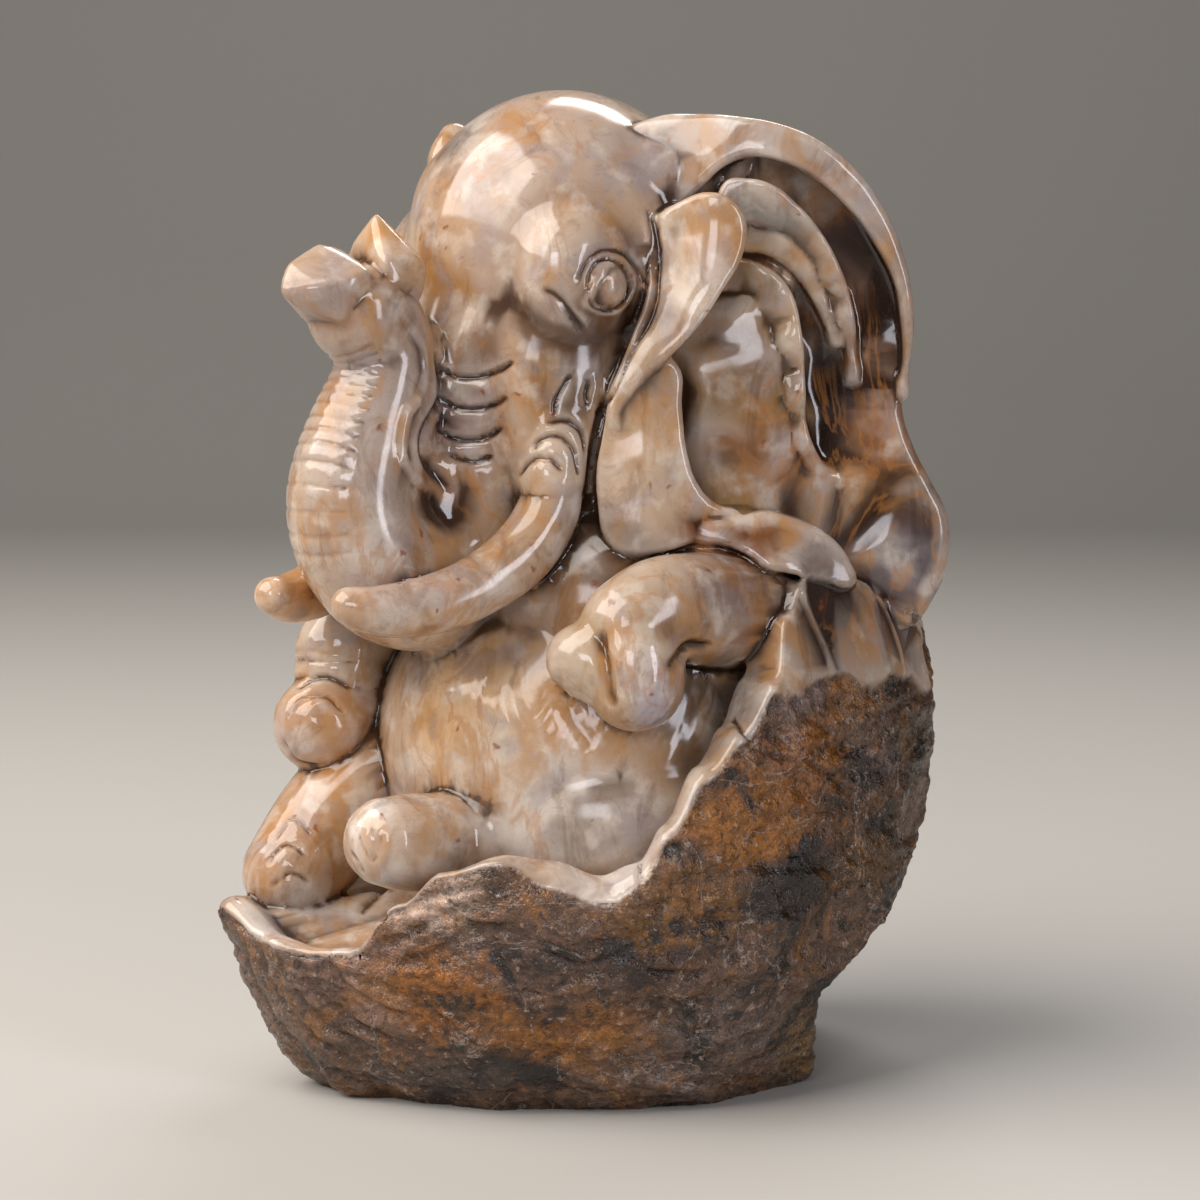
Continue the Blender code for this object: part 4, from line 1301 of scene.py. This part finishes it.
@dataclass(frozen=True)
class PolishedChalcedony:
    """Chalcedony, a microcrystalline quartz, cut and polished to a gloss.

    It is cream and tan with cloudy bands and mirrors its surroundings, IOR 1.54. Its
    rind is iron-stained, pitted and half dull. Patterns stop where their finest layer
    would be smaller than about 0.2 mm, which no view shows.
    """

    base: str = "#aa8d72"
    clouds: tuple[Stain, ...] = (
        Stain((-14, -12, 167), (22, 30, 14), "#9c7d66", 0.8),
        Stain((-26, -26, 152), (10, 12, 16), "#a07446", 0.75),
        Stain((-12, -28, 150), (9, 9, 14), "#a39084", 0.6),
        Stain((6, -27, 141), (12, 12, 14), "#5f463a", 0.85),
        Stain((-3, -28, 131), (10, 9, 12), "#4d3525", 0.85),
        Stain((-18, -26, 126), (8, 7, 12), "#664d3f", 0.8),
        Stain((-24, -30, 118), (7, 8, 16), "#7d655c", 0.7),
        Stain((-3.8, -28, 126), (1.0, 2.5, 4), "#1d1518", 0.9),
        Stain((22, -18, 169), (20, 16, 9), "#948985", 0.9),
        Stain((46, -16, 166), (9, 10, 9), "#9b8f8b", 0.8),
        Stain((21, -29, 149), (7, 6, 12), "#b59d86", 0.8),
        Stain((11, -31, 132), (7, 6, 9), "#a9865f", 0.8),
        Stain((58, -16, 140), (5, 9, 22), "#86705f", 0.9),
        Stain((33, -18, 158), (9, 9, 6), "#85807a", 0.9),
        Stain((46, -11, 150), (10, 8, 16), "#6c5a54", 0.95),
        Stain((54, -12, 134), (6, 8, 11), "#745a4c", 0.95),
        Stain((44.5, -14, 126), (7, 9, 12), "#231d21", 0.95),
        Stain((55, -12, 117), (8, 8, 10), "#7d5236", 0.95),
        Stain((32, -13, 138), (8, 6, 10), "#84704c", 0.85),
        Stain((30, -18, 124), (10, 10, 12), "#8a6a44", 0.9),
        Stain((33, -18, 113), (11, 10, 6), "#7d4b16", 0.95),
        Stain((24, -14, 106), (10, 8, 6), "#a07e4e", 0.8),
        Stain((58, -14, 106), (9, 10, 9), "#5c4028", 0.95),
        Stain((50, -14, 102), (12, 10, 8), "#4b3524", 0.9),
        Stain((57, -15, 92), (12, 12, 9), "#50474e", 0.95),
        Stain((11, -29, 112), (11, 6, 15), "#b8a189", 0.85),
        Stain((-38, -34, 112), (12, 14, 20), "#97877f", 0.85),
        Stain((-34, -32, 128), (12, 12, 10), "#9a8a80", 0.8),
        Stain((-44, -34, 141), (14, 14, 8), "#8a6449", 0.85),
        Stain((-37, -30, 155), (9, 9, 6), "#c48f58", 0.8),
        Stain((-30, -44, 96), (16, 12, 9), "#a8968c", 0.7),
        Stain((-55, -24, 90), (12, 20, 8), "#d0a175", 0.85),
        Stain((27, -30, 102), (13, 9, 5), "#6c4122", 0.95),
        Stain((43, -26, 97), (8, 9, 6), "#8b7f79", 0.9),
        Stain((23, -38, 91), (14, 14, 10), "#6b4222", 0.95),
        Stain((14, -40, 92), (9, 10, 8), "#9a7c58", 0.75),
        Stain((11, -52, 76), (7, 8, 8), "#8f848e", 0.95),
        Stain((0, -48, 82), (6, 8, 8), "#a58b6c", 0.85),
        Stain((2, -29, 96), (16, 10, 9), "#513724", 0.9),
        Stain((-22, -34, 72), (18, 16, 16), "#d2ac82", 0.9),
        Stain((-6, -44, 55), (20, 14, 11), "#b9afa6", 0.9),
        Stain((-16, -44, 64), (10, 14, 10), "#c0b0a0", 0.7),
        Stain((23, -34, 70), (10, 14, 12), "#51402f", 0.9),
        Stain((-38, -47, 49), (7, 9, 9), "#d8cfc7", 0.95),
        Stain((-28, -44, 46), (6, 8, 8), "#b08a66", 0.8),
        Stain((-47, -12, 66), (12, 14, 11), "#ad7c50", 0.9),
        Stain((-44, -8, 82), (9, 12, 8), "#b9a48f", 0.8),
        Stain((-52, -18, 44), (12, 14, 14), "#ac7f55", 0.9),
        Stain((-48, -36, 31), (18, 18, 6), "#c2bab4", 0.9),
        Stain((4, -45, 53), (12, 10, 6), "#655140", 0.85),
        Stain((28, -40, 66), (10, 8, 18), "#97897e", 0.6),
        Stain((47, -28, 83), (17, 20, 14), "#61524b", 0.95),
        Stain((61, -14, 77), (6, 8, 10), "#aea39e", 0.95),
        Stain((-24, -8, 170), (7, 9, 7), "#4a3d3a", 0.85),
        Stain((30, -45, 66), (10, 6, 16), "#8f8178", 0.9),
        Stain((24, -47, 52), (8, 6, 8), "#b3a8a0", 0.9),
        Stain((8, -50, 45), (14, 7, 6), "#d2c5bb", 0.9),
        Stain((-26, -50, 40), (20, 6, 6), "#97867c", 0.85),
        Stain((0, 35, 110), (60, 22, 60), "#93765f", 0.6),
        Stain((30, 30, 90), (30, 30, 24), "#7a6351", 0.6),
    )
    # Darkening colour for residue and painted shade in creases, and for painted shade in broad hollows.
    crease: str = "#5d4232"
    # Painted highlight colour for crests, where the skin stands proud.
    painted_crest_highlight: str = "#d9cec3"
    rind_base: str = "#523a29"
    rind_clouds: tuple[Stain, ...] = (
        Stain((-54, -36, 24), (14, 30, 16), "#655145", 0.85),
        Stain((-29, -48, 38), (14, 12, 5), "#ac9180", 0.9),
        Stain((-36, -44, 25), (12, 16, 8), "#77594a", 0.85),
        Stain((-22, -48, 22), (12, 14, 8), "#7c4a14", 0.95),
        Stain((-10, -50, 30), (12, 12, 7), "#5c4438", 0.85),
        Stain((-4, -50, 16), (16, 16, 7), "#764710", 0.9),
        Stain((-12, -48, 7), (12, 16, 5), "#150c06", 0.95),
        Stain((10, -52, 31), (14, 16, 7), "#2f1b0c", 0.95),
        Stain((16, -48, 38), (16, 16, 7), "#6b4413", 0.9),
        Stain((28, -44, 52), (12, 18, 9), "#84500e", 0.95),
        Stain((39, -36, 60), (12, 18, 9), "#744410", 0.9),
        Stain((50, -30, 52), (12, 18, 9), "#4f3118", 0.9),
        Stain((38, -38, 40), (13, 20, 8), "#1f1109", 0.95),
        Stain((52, -26, 40), (10, 18, 8), "#4e3416", 0.85),
        Stain((8, -46, 42), (14, 8, 4), "#7d6a60", 0.85),
        Stain((22, -44, 12), (18, 20, 10), "#57463c", 0.85),
        Stain((-26, -42, 6), (18, 18, 6), "#4a3a31", 0.85),
        Stain((36, -36, 78), (6, 12, 12), "#6b5650", 0.95),
        Stain((60, -10, 66), (10, 20, 10), "#45301c", 0.85),
        Stain((42, -20, 10), (9, 26, 12), "#664c2c", 0.9),
        Stain((0, 44, 40), (60, 24, 40), "#47372a", 0.6),
    )

    def tones(self, mesh: Mesh, rind: np.ndarray) -> np.ndarray:
        """The stone's colour at each vertex, from its clouds and the rind's. It is darkened by residue and painted
        shade in creases and by painted shade in broad hollows, and lightened by a painted highlight on crests.

        Args:
            mesh: The finished stone.
            rind: How much of the rind is at each vertex.

        Returns:
            Rows of linear red, green, blue and alpha.
        """
        points = positions(mesh)
        noise.seed_set(CLOUD_SEED)
        warp = np.array([noise.turbulence_vector(Vector(p) / 16.0, 3, False) for p in points])
        fine = np.array([noise.noise(Vector(p) / 5.0) for p in points])
        moved = points + warp * 5.0
        layers = []
        for base, clouds in ((self.base, self.clouds), (self.rind_base, self.rind_clouds)):
            tone = np.tile(np.array(linear(base)), (len(points), 1))
            for cloud in clouds:
                off = np.linalg.norm((moved - np.array(cloud.centre)) / np.array(cloud.reach), axis=1)
                cover = cloud.strength * (1 - smooth_step(0.55, 1.25, off + 0.12 * fine))
                tone += (np.array(linear(cloud.colour)) - tone) * cover[:, None]
            layers.append(tone)
        narrow, wide = sunken(mesh, 6), sunken(mesh, 50)
        # Residue and painted shade in narrow creases, where the skin lies below its close surroundings.
        crease = 0.85 * smooth_step(0.015, 0.16, narrow)[:, None]
        # Painted shade in broad hollows, like ambient occlusion, where the skin lies below a wide neighbourhood.
        hollow = 0.6 * smooth_step(0.15, 1.5, wide)[:, None]
        # Painted highlight on crests, where the skin stands proud of its close surroundings.
        painted_crest_highlight = 0.3 * smooth_step(0.04, 0.25, -narrow)[:, None]
        polished = layers[0] * (1 - crease * (1 - np.array(linear(self.crease))))
        polished = polished * (1 - hollow * (1 - np.array(linear(self.crease))))
        polished += (np.array(linear(self.painted_crest_highlight)) - polished) * painted_crest_highlight
        # The rind also gets residue and painted shade in creases and a painted highlight on crests.
        rough = layers[1] * (1 - 0.4 * crease) * (1 + 0.8 * painted_crest_highlight)
        return polished + (rough - polished) * rind[:, None]

    def material(self) -> Material:
        """The stone's material."""
        made = bpy.data.materials.new("polished chalcedony with its rind")
        made.use_nodes = True
        tree = made.node_tree
        tree.nodes.clear()
        place = add_node(tree, "ShaderNodeTexCoord").outputs["Object"]
        # The tone attribute holds the stone's colour, with residue and painted shade in creases, painted shade in
        # hollows and a painted highlight on crests.
        tone = add_node(tree, "ShaderNodeAttribute", {"attribute_name": "tone"}).outputs["Color"]
        rind = add_node(tree, "ShaderNodeAttribute", {"attribute_name": "rind"}).outputs["Fac"]
        colour = self._polished_colour(tree, place, tone)
        rough_colour = self._rind_colour(tree, place, tone)
        mixed = mix(tree, rind, colour, rough_colour)
        gloss = self._band(tree, self._noise(tree, place, 8.0, 3.0), 0.3, 0.7, 0.07, 0.17)
        dull = self._band(tree, self._noise(tree, place, 3.0, 3.0), 0.35, 0.65, 0.13, 0.36)
        roughness = add_node(tree, "ShaderNodeMix", {"data_type": "FLOAT"}, {0: rind, 2: gloss, 3: dull})
        shader = add_node(tree, "ShaderNodeBsdfPrincipled", None, {
            "Base Color": mixed,
            "Roughness": roughness.outputs[0],
            "IOR": 1.54,
            "Normal": self._relief(tree, place, rind),
        })
        add_node(tree, "ShaderNodeOutputMaterial", None, {"Surface": shader.outputs[0]})
        return made

    def _noise(self, tree: NodeTree, place: Any, size: float, detail: float, rough: float = 0.6, swirl: float = 0.0) -> Any:
        """A cloudy pattern.

        Args:
            tree: The material's tree.
            place: The socket of the coordinates.
            size: The size of its clouds, in millimetres.
            detail: How many finer layers it has.
            rough: How strong the finer layers are.
            swirl: How far it is drawn out of shape.

        Returns:
            The pattern's socket, from 0 to 1.
        """
        node = add_node(tree, "ShaderNodeTexNoise", None, {
            "Vector": place, "Scale": 1.0 / (size * MM), "Detail": detail, "Roughness": rough, "Distortion": swirl,
        })
        return node.outputs[0]

    def _band(self, tree: NodeTree, value: Any, low: float, high: float, start: float = 0.0, end: float = 1.0) -> Any:
        """Turns a value between low and high smoothly to one between start and end."""
        node = add_node(tree, "ShaderNodeMapRange", {"interpolation_type": "SMOOTHSTEP"}, {
            "Value": value, "From Min": low, "From Max": high, "To Min": start, "To Max": end,
        })
        return node.outputs["Result"]

    def _times(self, tree: NodeTree, first: Any, second: Any) -> Any:
        """Two values multiplied."""
        return add_node(tree, "ShaderNodeMath", {"operation": "MULTIPLY"}, {0: first, 1: second}).outputs[0]

    def _thread(self, tree: NodeTree, value: Any, width: float, strength: float) -> Any:
        """Thin threads where a pattern crosses its middle value."""
        middle = add_node(tree, "ShaderNodeMath", {"operation": "SUBTRACT"}, {0: value, 1: 0.5})
        thin = add_node(tree, "ShaderNodeMath", {"operation": "ABSOLUTE"}, {0: middle.outputs[0]})
        return self._band(tree, thin.outputs[0], 0.0, width, strength, 0.0)

    def _polished_colour(self, tree: NodeTree, place: Any, tone: Any) -> Any:
        """Cloudy mottling, soft orange seams and rust specks over the stone's tone.

        Args:
            tree: The material's tree.
            place: The socket of the object's coordinates.
            tone: The socket of the stone's tone.

        Returns:
            The colour's socket.
        """
        drawn = add_node(tree, "ShaderNodeMapping", None, {"Vector": place, "Scale": (1.0, 1.0, 0.5)}).outputs[0]
        moved = add_node(tree, "ShaderNodeMapping", None, {"Vector": place, "Location": (0.31, 0.17, 0.53)}).outputs[0]
        light = self._band(tree, add_node(tree, "ShaderNodeRGBToBW", None, {0: tone}).outputs[0], 0.03, 0.22)
        warm = self._band(tree, self._noise(tree, drawn, 10.0, 5.0, 0.56, 0.5), 0.48, 0.64, 0.0, 0.6)
        colour = mix(tree, self._times(tree, warm, light), tone, linear("#a8763c"))
        cool = self._band(tree, self._noise(tree, moved, 9.0, 3.0, 0.55, 0.5), 0.5, 0.66, 0.0, 0.45)
        colour = mix(tree, self._times(tree, cool, light), colour, linear("#958a8c"))
        milk = self._band(tree, self._noise(tree, moved, 6.0, 3.0, 0.5), 0.5, 0.68, 0.0, 0.42)
        colour = mix(tree, self._times(tree, milk, light), colour, linear("#d4c9bd"))
        smoke = self._band(tree, self._noise(tree, drawn, 9.0, 5.0, 0.64, 1.0), 0.34, 0.48, 0.4, 0.0)
        colour = mix(tree, smoke, colour, linear("#a08673"), "MULTIPLY")
        seam = self._thread(tree, self._noise(tree, drawn, 17.0, 6.0, 0.58, 1.6), 0.04, 0.42)
        where = self._band(tree, self._noise(tree, moved, 24.0, 2.0), 0.5, 0.62)
        colour = mix(tree, self._times(tree, seam, where), colour, linear("#a86f38"))
        hair = self._thread(tree, self._noise(tree, place, 11.0, 6.0, 0.6, 2.0), 0.009, 0.25)
        colour = mix(tree, hair, colour, linear("#6d4a37"))
        wobble = add_node(tree, "ShaderNodeTexNoise", None, {"Vector": place, "Scale": 500.0, "Detail": 1.0}).outputs["Color"]
        pushed = add_node(tree, "ShaderNodeMix", {"data_type": "VECTOR"}, {0: 0.003, 4: place, 5: wobble}).outputs[1]
        cells = add_node(tree, "ShaderNodeTexVoronoi", None, {"Vector": pushed, "Scale": 300.0})
        spot = self._band(tree, cells.outputs["Distance"], 0.08, 0.26, 0.75, 0.0)
        pick = add_node(tree, "ShaderNodeSeparateColor", None, {0: cells.outputs["Color"]})
        rare = add_node(tree, "ShaderNodeMath", {"operation": "GREATER_THAN"}, {0: pick.outputs[0], 1: 0.93})
        return mix(tree, self._times(tree, spot, rare.outputs[0]), colour, linear("#7d4020"))

    def _rind_colour(self, tree: NodeTree, place: Any, tone: Any) -> Any:
        """Ochre patches, crumbs, dark pits and a few pale threads over the rind's tone.

        Args:
            tree: The material's tree.
            place: The socket of the object's coordinates.
            tone: The socket of the stone's tone.

        Returns:
            The colour's socket.
        """
        patch = self._noise(tree, place, 13.0, 6.0, 0.68, 0.8)
        light = self._band(tree, add_node(tree, "ShaderNodeRGBToBW", None, {0: tone}).outputs[0], 0.004, 0.045)
        ochre = self._times(tree, self._band(tree, patch, 0.54, 0.64, 0.0, 0.55), light)
        colour = mix(tree, ochre, tone, linear("#7e5016"))
        colour = mix(tree, self._band(tree, patch, 0.38, 0.48, 0.9, 0.0), colour, linear("#18100b"))
        plum = self._noise(tree, place, 16.0, 5.0, 0.65)
        dusty = self._times(tree, self._band(tree, plum, 0.58, 0.7, 0.0, 0.4), light)
        colour = mix(tree, dusty, colour, linear("#7a635c"))
        wobble = add_node(tree, "ShaderNodeTexNoise", None, {"Vector": place, "Scale": 700.0, "Detail": 1.0}).outputs["Color"]
        pushed = add_node(tree, "ShaderNodeMix", {"data_type": "VECTOR"}, {0: 0.0016, 4: place, 5: wobble}).outputs[1]
        crumbs = add_node(tree, "ShaderNodeTexVoronoi", None, {"Vector": pushed, "Scale": 800.0})
        pick = add_node(tree, "ShaderNodeSeparateColor", None, {0: crumbs.outputs["Color"]})
        crumb = add_node(tree, "ShaderNodeMapRange", None, {"Value": pick.outputs[0], "To Min": 0.65, "To Max": 1.4})
        varied = add_node(tree, "ShaderNodeVectorMath", {"operation": "SCALE"}, {0: colour, "Scale": crumb.outputs[0]})
        fleck = self._noise(tree, place, 1.6, 3.0, 0.7)
        crumbly = self._times(tree, self._band(tree, fleck, 0.6, 0.72, 0.0, 0.7), light)
        colour = mix(tree, crumbly, varied.outputs[0], linear("#a58f80"))
        colour = mix(tree, self._band(tree, fleck, 0.3, 0.42, 0.7, 0.0), colour, linear("#1a120c"))
        rust = self._noise(tree, place, 4.5, 4.0, 0.66)
        rusty = self._times(tree, self._band(tree, rust, 0.58, 0.7, 0.0, 0.6), light)
        colour = mix(tree, rusty, colour, linear("#87541c"))
        thread = self._thread(tree, self._noise(tree, place, 26.0, 7.0, 0.6, 0.9), 0.007, 0.5)
        return mix(tree, thread, colour, linear("#a8988c"))

    def _relief(self, tree: NodeTree, place: Any, rind: Any) -> Any:
        """Polishing marks too fine to model on the gloss, and grit on the rind.

        Args:
            tree: The material's tree.
            place: The socket of the object's coordinates.
            rind: The socket of the rind's share.

        Returns:
            The normal's socket.
        """
        rough = add_node(tree, "ShaderNodeMapRange", None, {"Value": rind, "To Min": 0.0, "To Max": 0.9}).outputs[0]
        lumps = self._noise(tree, place, 3.2, 4.0, 0.68)
        lumpy = add_node(tree, "ShaderNodeBump", None, {"Strength": rough, "Distance": 0.0016, "Height": lumps})
        ripple = self._noise(tree, place, 6.0, 1.0, 0.5)
        wavy = add_node(tree, "ShaderNodeBump", None, {
            "Strength": 0.08, "Distance": 0.0006, "Height": ripple, "Normal": lumpy.outputs[0],
        })
        return wavy.outputs[0]


@dataclass
class Carving:
    """The whole carving: its parts fused into one stone, cut with lines and dressed."""

    fineness: Fineness
    finish: PolishedChalcedony
    blend_softness: float = 3.4
    joint_rounds: int = 3

    def skin(self) -> Mesh:
        """The fused stone before any line is cut into it."""
        head, body, boulder = Head(), Body(), Boulder()
        rounds = int(2 * (self.blend_softness / self.fineness.blend) ** 2)
        blended = skinned("head and body", head.masses() + body.masses(), self.fineness.blend, rounds)
        surface = Surface(blended)
        forms = [blended, boulder.stone()]
        forms += head.eyes(surface) + head.tusks() + head.tip(self.fineness)
        forms += NearEar().forms(self.fineness) + FarEar().forms() + body.limbs(self.fineness)
        LOG.info("laid out %d forms", len(forms))
        return skinned("carving", forms, self.fineness.skin, self.joint_rounds)

    def lines(self, skin: Object, material: Material) -> list[tuple[str, Object, float, float]]:
        """All lines that are cut into the skin.

        Args:
            skin: The fused stone's object.
            material: The stone's material.

        Returns:
            Each group's name, its object of bare edges, its depth and its width.
        """
        surface = Surface(skin.data)
        groups = [(g.name, as_object(g.name, path_mesh(g.name, g.paths(surface))), g.depth, g.width) for g in CUT_LINES]
        rings = ring_tree()
        head = Head()
        trunk = smooth_rows(head.turn.place(head.trunk))
        runs = ((66, 106, 17, math.radians(-46), math.radians(92), 0.22, 0.7), (12, 40, 4, math.radians(-35), math.radians(95), 0.3, 1.2))
        for low, high, count, start, sweep, depth, width in runs:
            path = path_mesh("trunk path", [trunk[low:high, :3]])
            reach = path.attributes.new("reach", "FLOAT", "POINT")
            reach.data.foreach_set("value", (trunk[low:high, 3] * MM).astype(np.float32))
            obj = as_object("trunk rings", path)
            use_tree(obj, rings, {
                "Skin": skin, "Rings": count, "Side": tuple(head.turn.side()), "Start angle": start, "Sweep": sweep, "Stone": material,
            })
            groups.append(("trunk rings", as_object("trunk rings", finished_mesh(obj)), depth, width))
        combs = (
            ((8, -42, 72), (18, 14, 9), (-0.5, 0.0, -1.0), 7.0, 2.4, 0.05, 0.08, 0.6, 3),
            ((-26, -36, 66), (13, 14, 16), (0.15, 0.0, -1.0), 8.0, 2.6, 0.06, 0.06, 0.6, 5),
            ((-55, -20, 44), (9, 12, 10), (-0.4, 0.0, -1.0), 5.0, 2.4, 0.08, 0.07, 0.6, 7),
        )
        strokes = stroke_tree()
        for centre, reach, comb, length, spacing, spread, depth, width, seed in combs:
            source = as_object("combed skin", skin.data)
            use_tree(source, strokes, {
                "Centre": tuple(c * MM for c in centre), "Reach": tuple(r * MM for r in reach), "Comb": comb,
                "Length": length * MM, "Spacing": spacing * MM, "Spread": spread, "Seed": seed, "Stone": material,
            })
            groups.append(("hair lines", as_object("hair lines", finished_mesh(source)), depth, width))
        return groups

    def build(self) -> Object:
        """Fuses, roughens, cuts and dresses the stone.

        Returns:
            The finished piece.
        """
        material = self.finish.material()
        skin = as_object("skin", self.skin())
        LOG.info("fused skin of %d faces", len(skin.data.polygons))
        groups = self.lines(skin, material)
        wall = as_object("outer wall", Boulder().wall())
        use_tree(skin, rind_tree(), {"Wall": wall, "Stone": material})
        grooves = groove_tree()
        for _, lines, depth, width in groups:
            use_tree(skin, grooves, {"Lines": lines, "Depth": depth * MM, "Width": width * MM, "Stone": material})
        cut = finished_mesh(skin)
        for helper in [wall, *(group[1] for group in groups)]:
            bpy.data.objects.remove(helper)
        LOG.info("cut %d groups of lines", len(groups))
        fine = as_object("fine stone", self.flat_below(cut))
        fine.data.shade_smooth()
        stone = as_object("stone", fine.data.copy())
        thin = stone.modifiers.new("fewer facets", "DECIMATE")
        faces = sum(len(face.vertices) - 2 for face in stone.data.polygons)
        thin.ratio = min(1.0, self.fineness.triangles / faces)
        shade = stone.modifiers.new("the fine stone's shading", "DATA_TRANSFER")
        shade.object = fine
        shade.use_loop_data = True
        shade.data_types_loops = {"CUSTOM_NORMAL"}
        shade.loop_mapping = "POLYINTERP_NEAREST"
        mesh = finished_mesh(stone)
        bpy.data.objects.remove(fine)
        mesh.name = "carved stone"
        rind = np.empty(len(mesh.vertices), np.float32)
        mesh.attributes["rind"].data.foreach_get("value", rind)
        tone = mesh.attributes.new("tone", "FLOAT_COLOR", "POINT")
        tone.data.foreach_set("color", self.finish.tones(mesh, rind).astype(np.float32).ravel())
        mesh.materials.clear()
        mesh.materials.append(material)
        return as_object("carved_stone", mesh)

    def flat_below(self, mesh: Mesh) -> Mesh:
        """The mesh cut flat at the ground plane and closed there."""
        bm = bmesh.new()
        bm.from_mesh(mesh)
        everything = bm.verts[:] + bm.edges[:] + bm.faces[:]
        bmesh.ops.bisect_plane(bm, geom=everything, dist=1e-6, plane_co=(0, 0, 0), plane_no=(0, 0, 1), clear_inner=True)
        bmesh.ops.edgeloop_fill(bm, edges=[edge for edge in bm.edges if edge.is_boundary])
        bm.to_mesh(mesh)
        bm.free()
        return mesh


@dataclass(frozen=True)
class SoftBox:
    """A soft studio lamp.

    Attributes:
        name: What it does.
        place: Where it hangs, in metres.
        aim: What it is turned to, in metres.
        size: Its width and height, in metres.
        power: Its power, in watts.
        colour: Its sRGB hex colour.
    """

    name: str
    place: Row
    aim: Row
    size: tuple[float, float]
    power: float
    colour: str

    def build(self) -> Object:
        """Hangs the lamp."""
        lamp = bpy.data.lights.new(self.name, "AREA")
        lamp.shape = "RECTANGLE"
        lamp.size, lamp.size_y = self.size
        lamp.energy = self.power
        lamp.color = linear(self.colour)[:3]
        obj = bpy.data.objects.new(self.name, lamp)
        bpy.context.scene.collection.objects.link(obj)
        obj.location = self.place
        obj.rotation_euler = (Vector(self.aim) - Vector(self.place)).to_track_quat("-Z", "Y").to_euler()
        return obj


@dataclass
class Studio:
    """A pale floor with a backdrop, soft lamps and the camera at the display side's angle."""

    distance: float = 0.62
    focal_length: float = 100.0
    sensor: float = 36.0
    target: Row = (0.003, 0.0, 0.0865)
    elevation: float = 6.0
    floor_colour: str = "#bab7b2"
    lamps: tuple[SoftBox, ...] = (
        SoftBox("key softbox", (-0.64, -0.24, 0.84), (0, 0, 0.1), (1.2, 0.9), 20.0, "#fff8f0"),
        SoftBox("front fill", (-0.25, -1.15, 0.5), (0, 0, 0.09), (0.35, 0.35), 2.7, "#f8f8ff"),
        SoftBox("side strip", (0.62, -0.62, 0.3), (0, 0, 0.11), (0.16, 0.6), 2.6, "#f6f6ff"),
        SoftBox("back top", (0.2, 0.5, 0.8), (0, 0, 0.12), (0.5, 0.2), 2.6, "#ffffff"),
    )
    world_colour: str = "#8d8f92"
    world_strength: float = 0.2

    def floor(self) -> Object:
        """A floor that bends up into a backdrop."""
        depth = [(-2.5, 0.0), (1.2, 0.0)]
        bend = [(1.2 + 0.6 * math.sin(a), 0.6 - 0.6 * math.cos(a)) for a in np.linspace(0.1, math.pi / 2, 16)]
        profile = [*depth, *bend, (1.8, 3.0)]
        bm = bmesh.new()
        left = [bm.verts.new((-3.0, y, z)) for y, z in profile]
        right = [bm.verts.new((3.0, y, z)) for y, z in profile]
        for i in range(len(profile) - 1):
            bm.faces.new((left[i], right[i], right[i + 1], left[i + 1]))
        mesh = bpy.data.meshes.new("floor")
        bm.to_mesh(mesh)
        bm.free()
        mesh.shade_smooth()
        paint = bpy.data.materials.new("pale studio paper")
        paint.use_nodes = True
        shader = paint.node_tree.nodes["Principled BSDF"]
        shader.inputs["Base Color"].default_value = linear(self.floor_colour)
        shader.inputs["Roughness"].default_value = 0.6
        mesh.materials.append(paint)
        return as_object("studio_floor", mesh)

    def camera(self) -> Object:
        """The camera at the display side's angle."""
        camera = bpy.data.cameras.new("display side camera")
        camera.lens = self.focal_length
        camera.sensor_width = self.sensor
        camera.clip_start, camera.clip_end = 0.01, 20.0
        obj = bpy.data.objects.new("display side camera", camera)
        bpy.context.scene.collection.objects.link(obj)
        rise = math.radians(self.elevation)
        back = Vector((0.0, -math.cos(rise), math.sin(rise)))
        obj.location = Vector(self.target) + back * self.distance
        obj.rotation_euler = (-back).to_track_quat("-Z", "Y").to_euler()
        bpy.context.scene.camera = obj
        return obj

    def world(self) -> None:
        """Even grey light from all round."""
        made = bpy.data.worlds.new("studio")
        made.use_nodes = True
        back = made.node_tree.nodes["Background"]
        back.inputs["Color"].default_value = linear(self.world_colour)
        back.inputs["Strength"].default_value = self.world_strength
        bpy.context.scene.world = made

    def build(self) -> None:
        """Sets up the whole studio."""
        self.floor()
        for lamp in self.lamps:
            lamp.build()
        self.camera()
        self.world()
        bpy.context.scene.view_settings.view_transform = "Standard"


def main() -> None:
    """Builds the carving and its studio, and reports the piece."""
    logging.basicConfig(level=logging.INFO, format="%(name)s: %(message)s")
    fineness = FINE
    piece = Carving(fineness, PolishedChalcedony()).build()
    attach(piece, "root")
    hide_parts(NODE_NAME)
    LOG.info("%s has %d triangles", piece.name, sum(len(face.vertices) - 2 for face in piece.data.polygons))
    Studio().build()


if __name__ == "__main__":
    main()
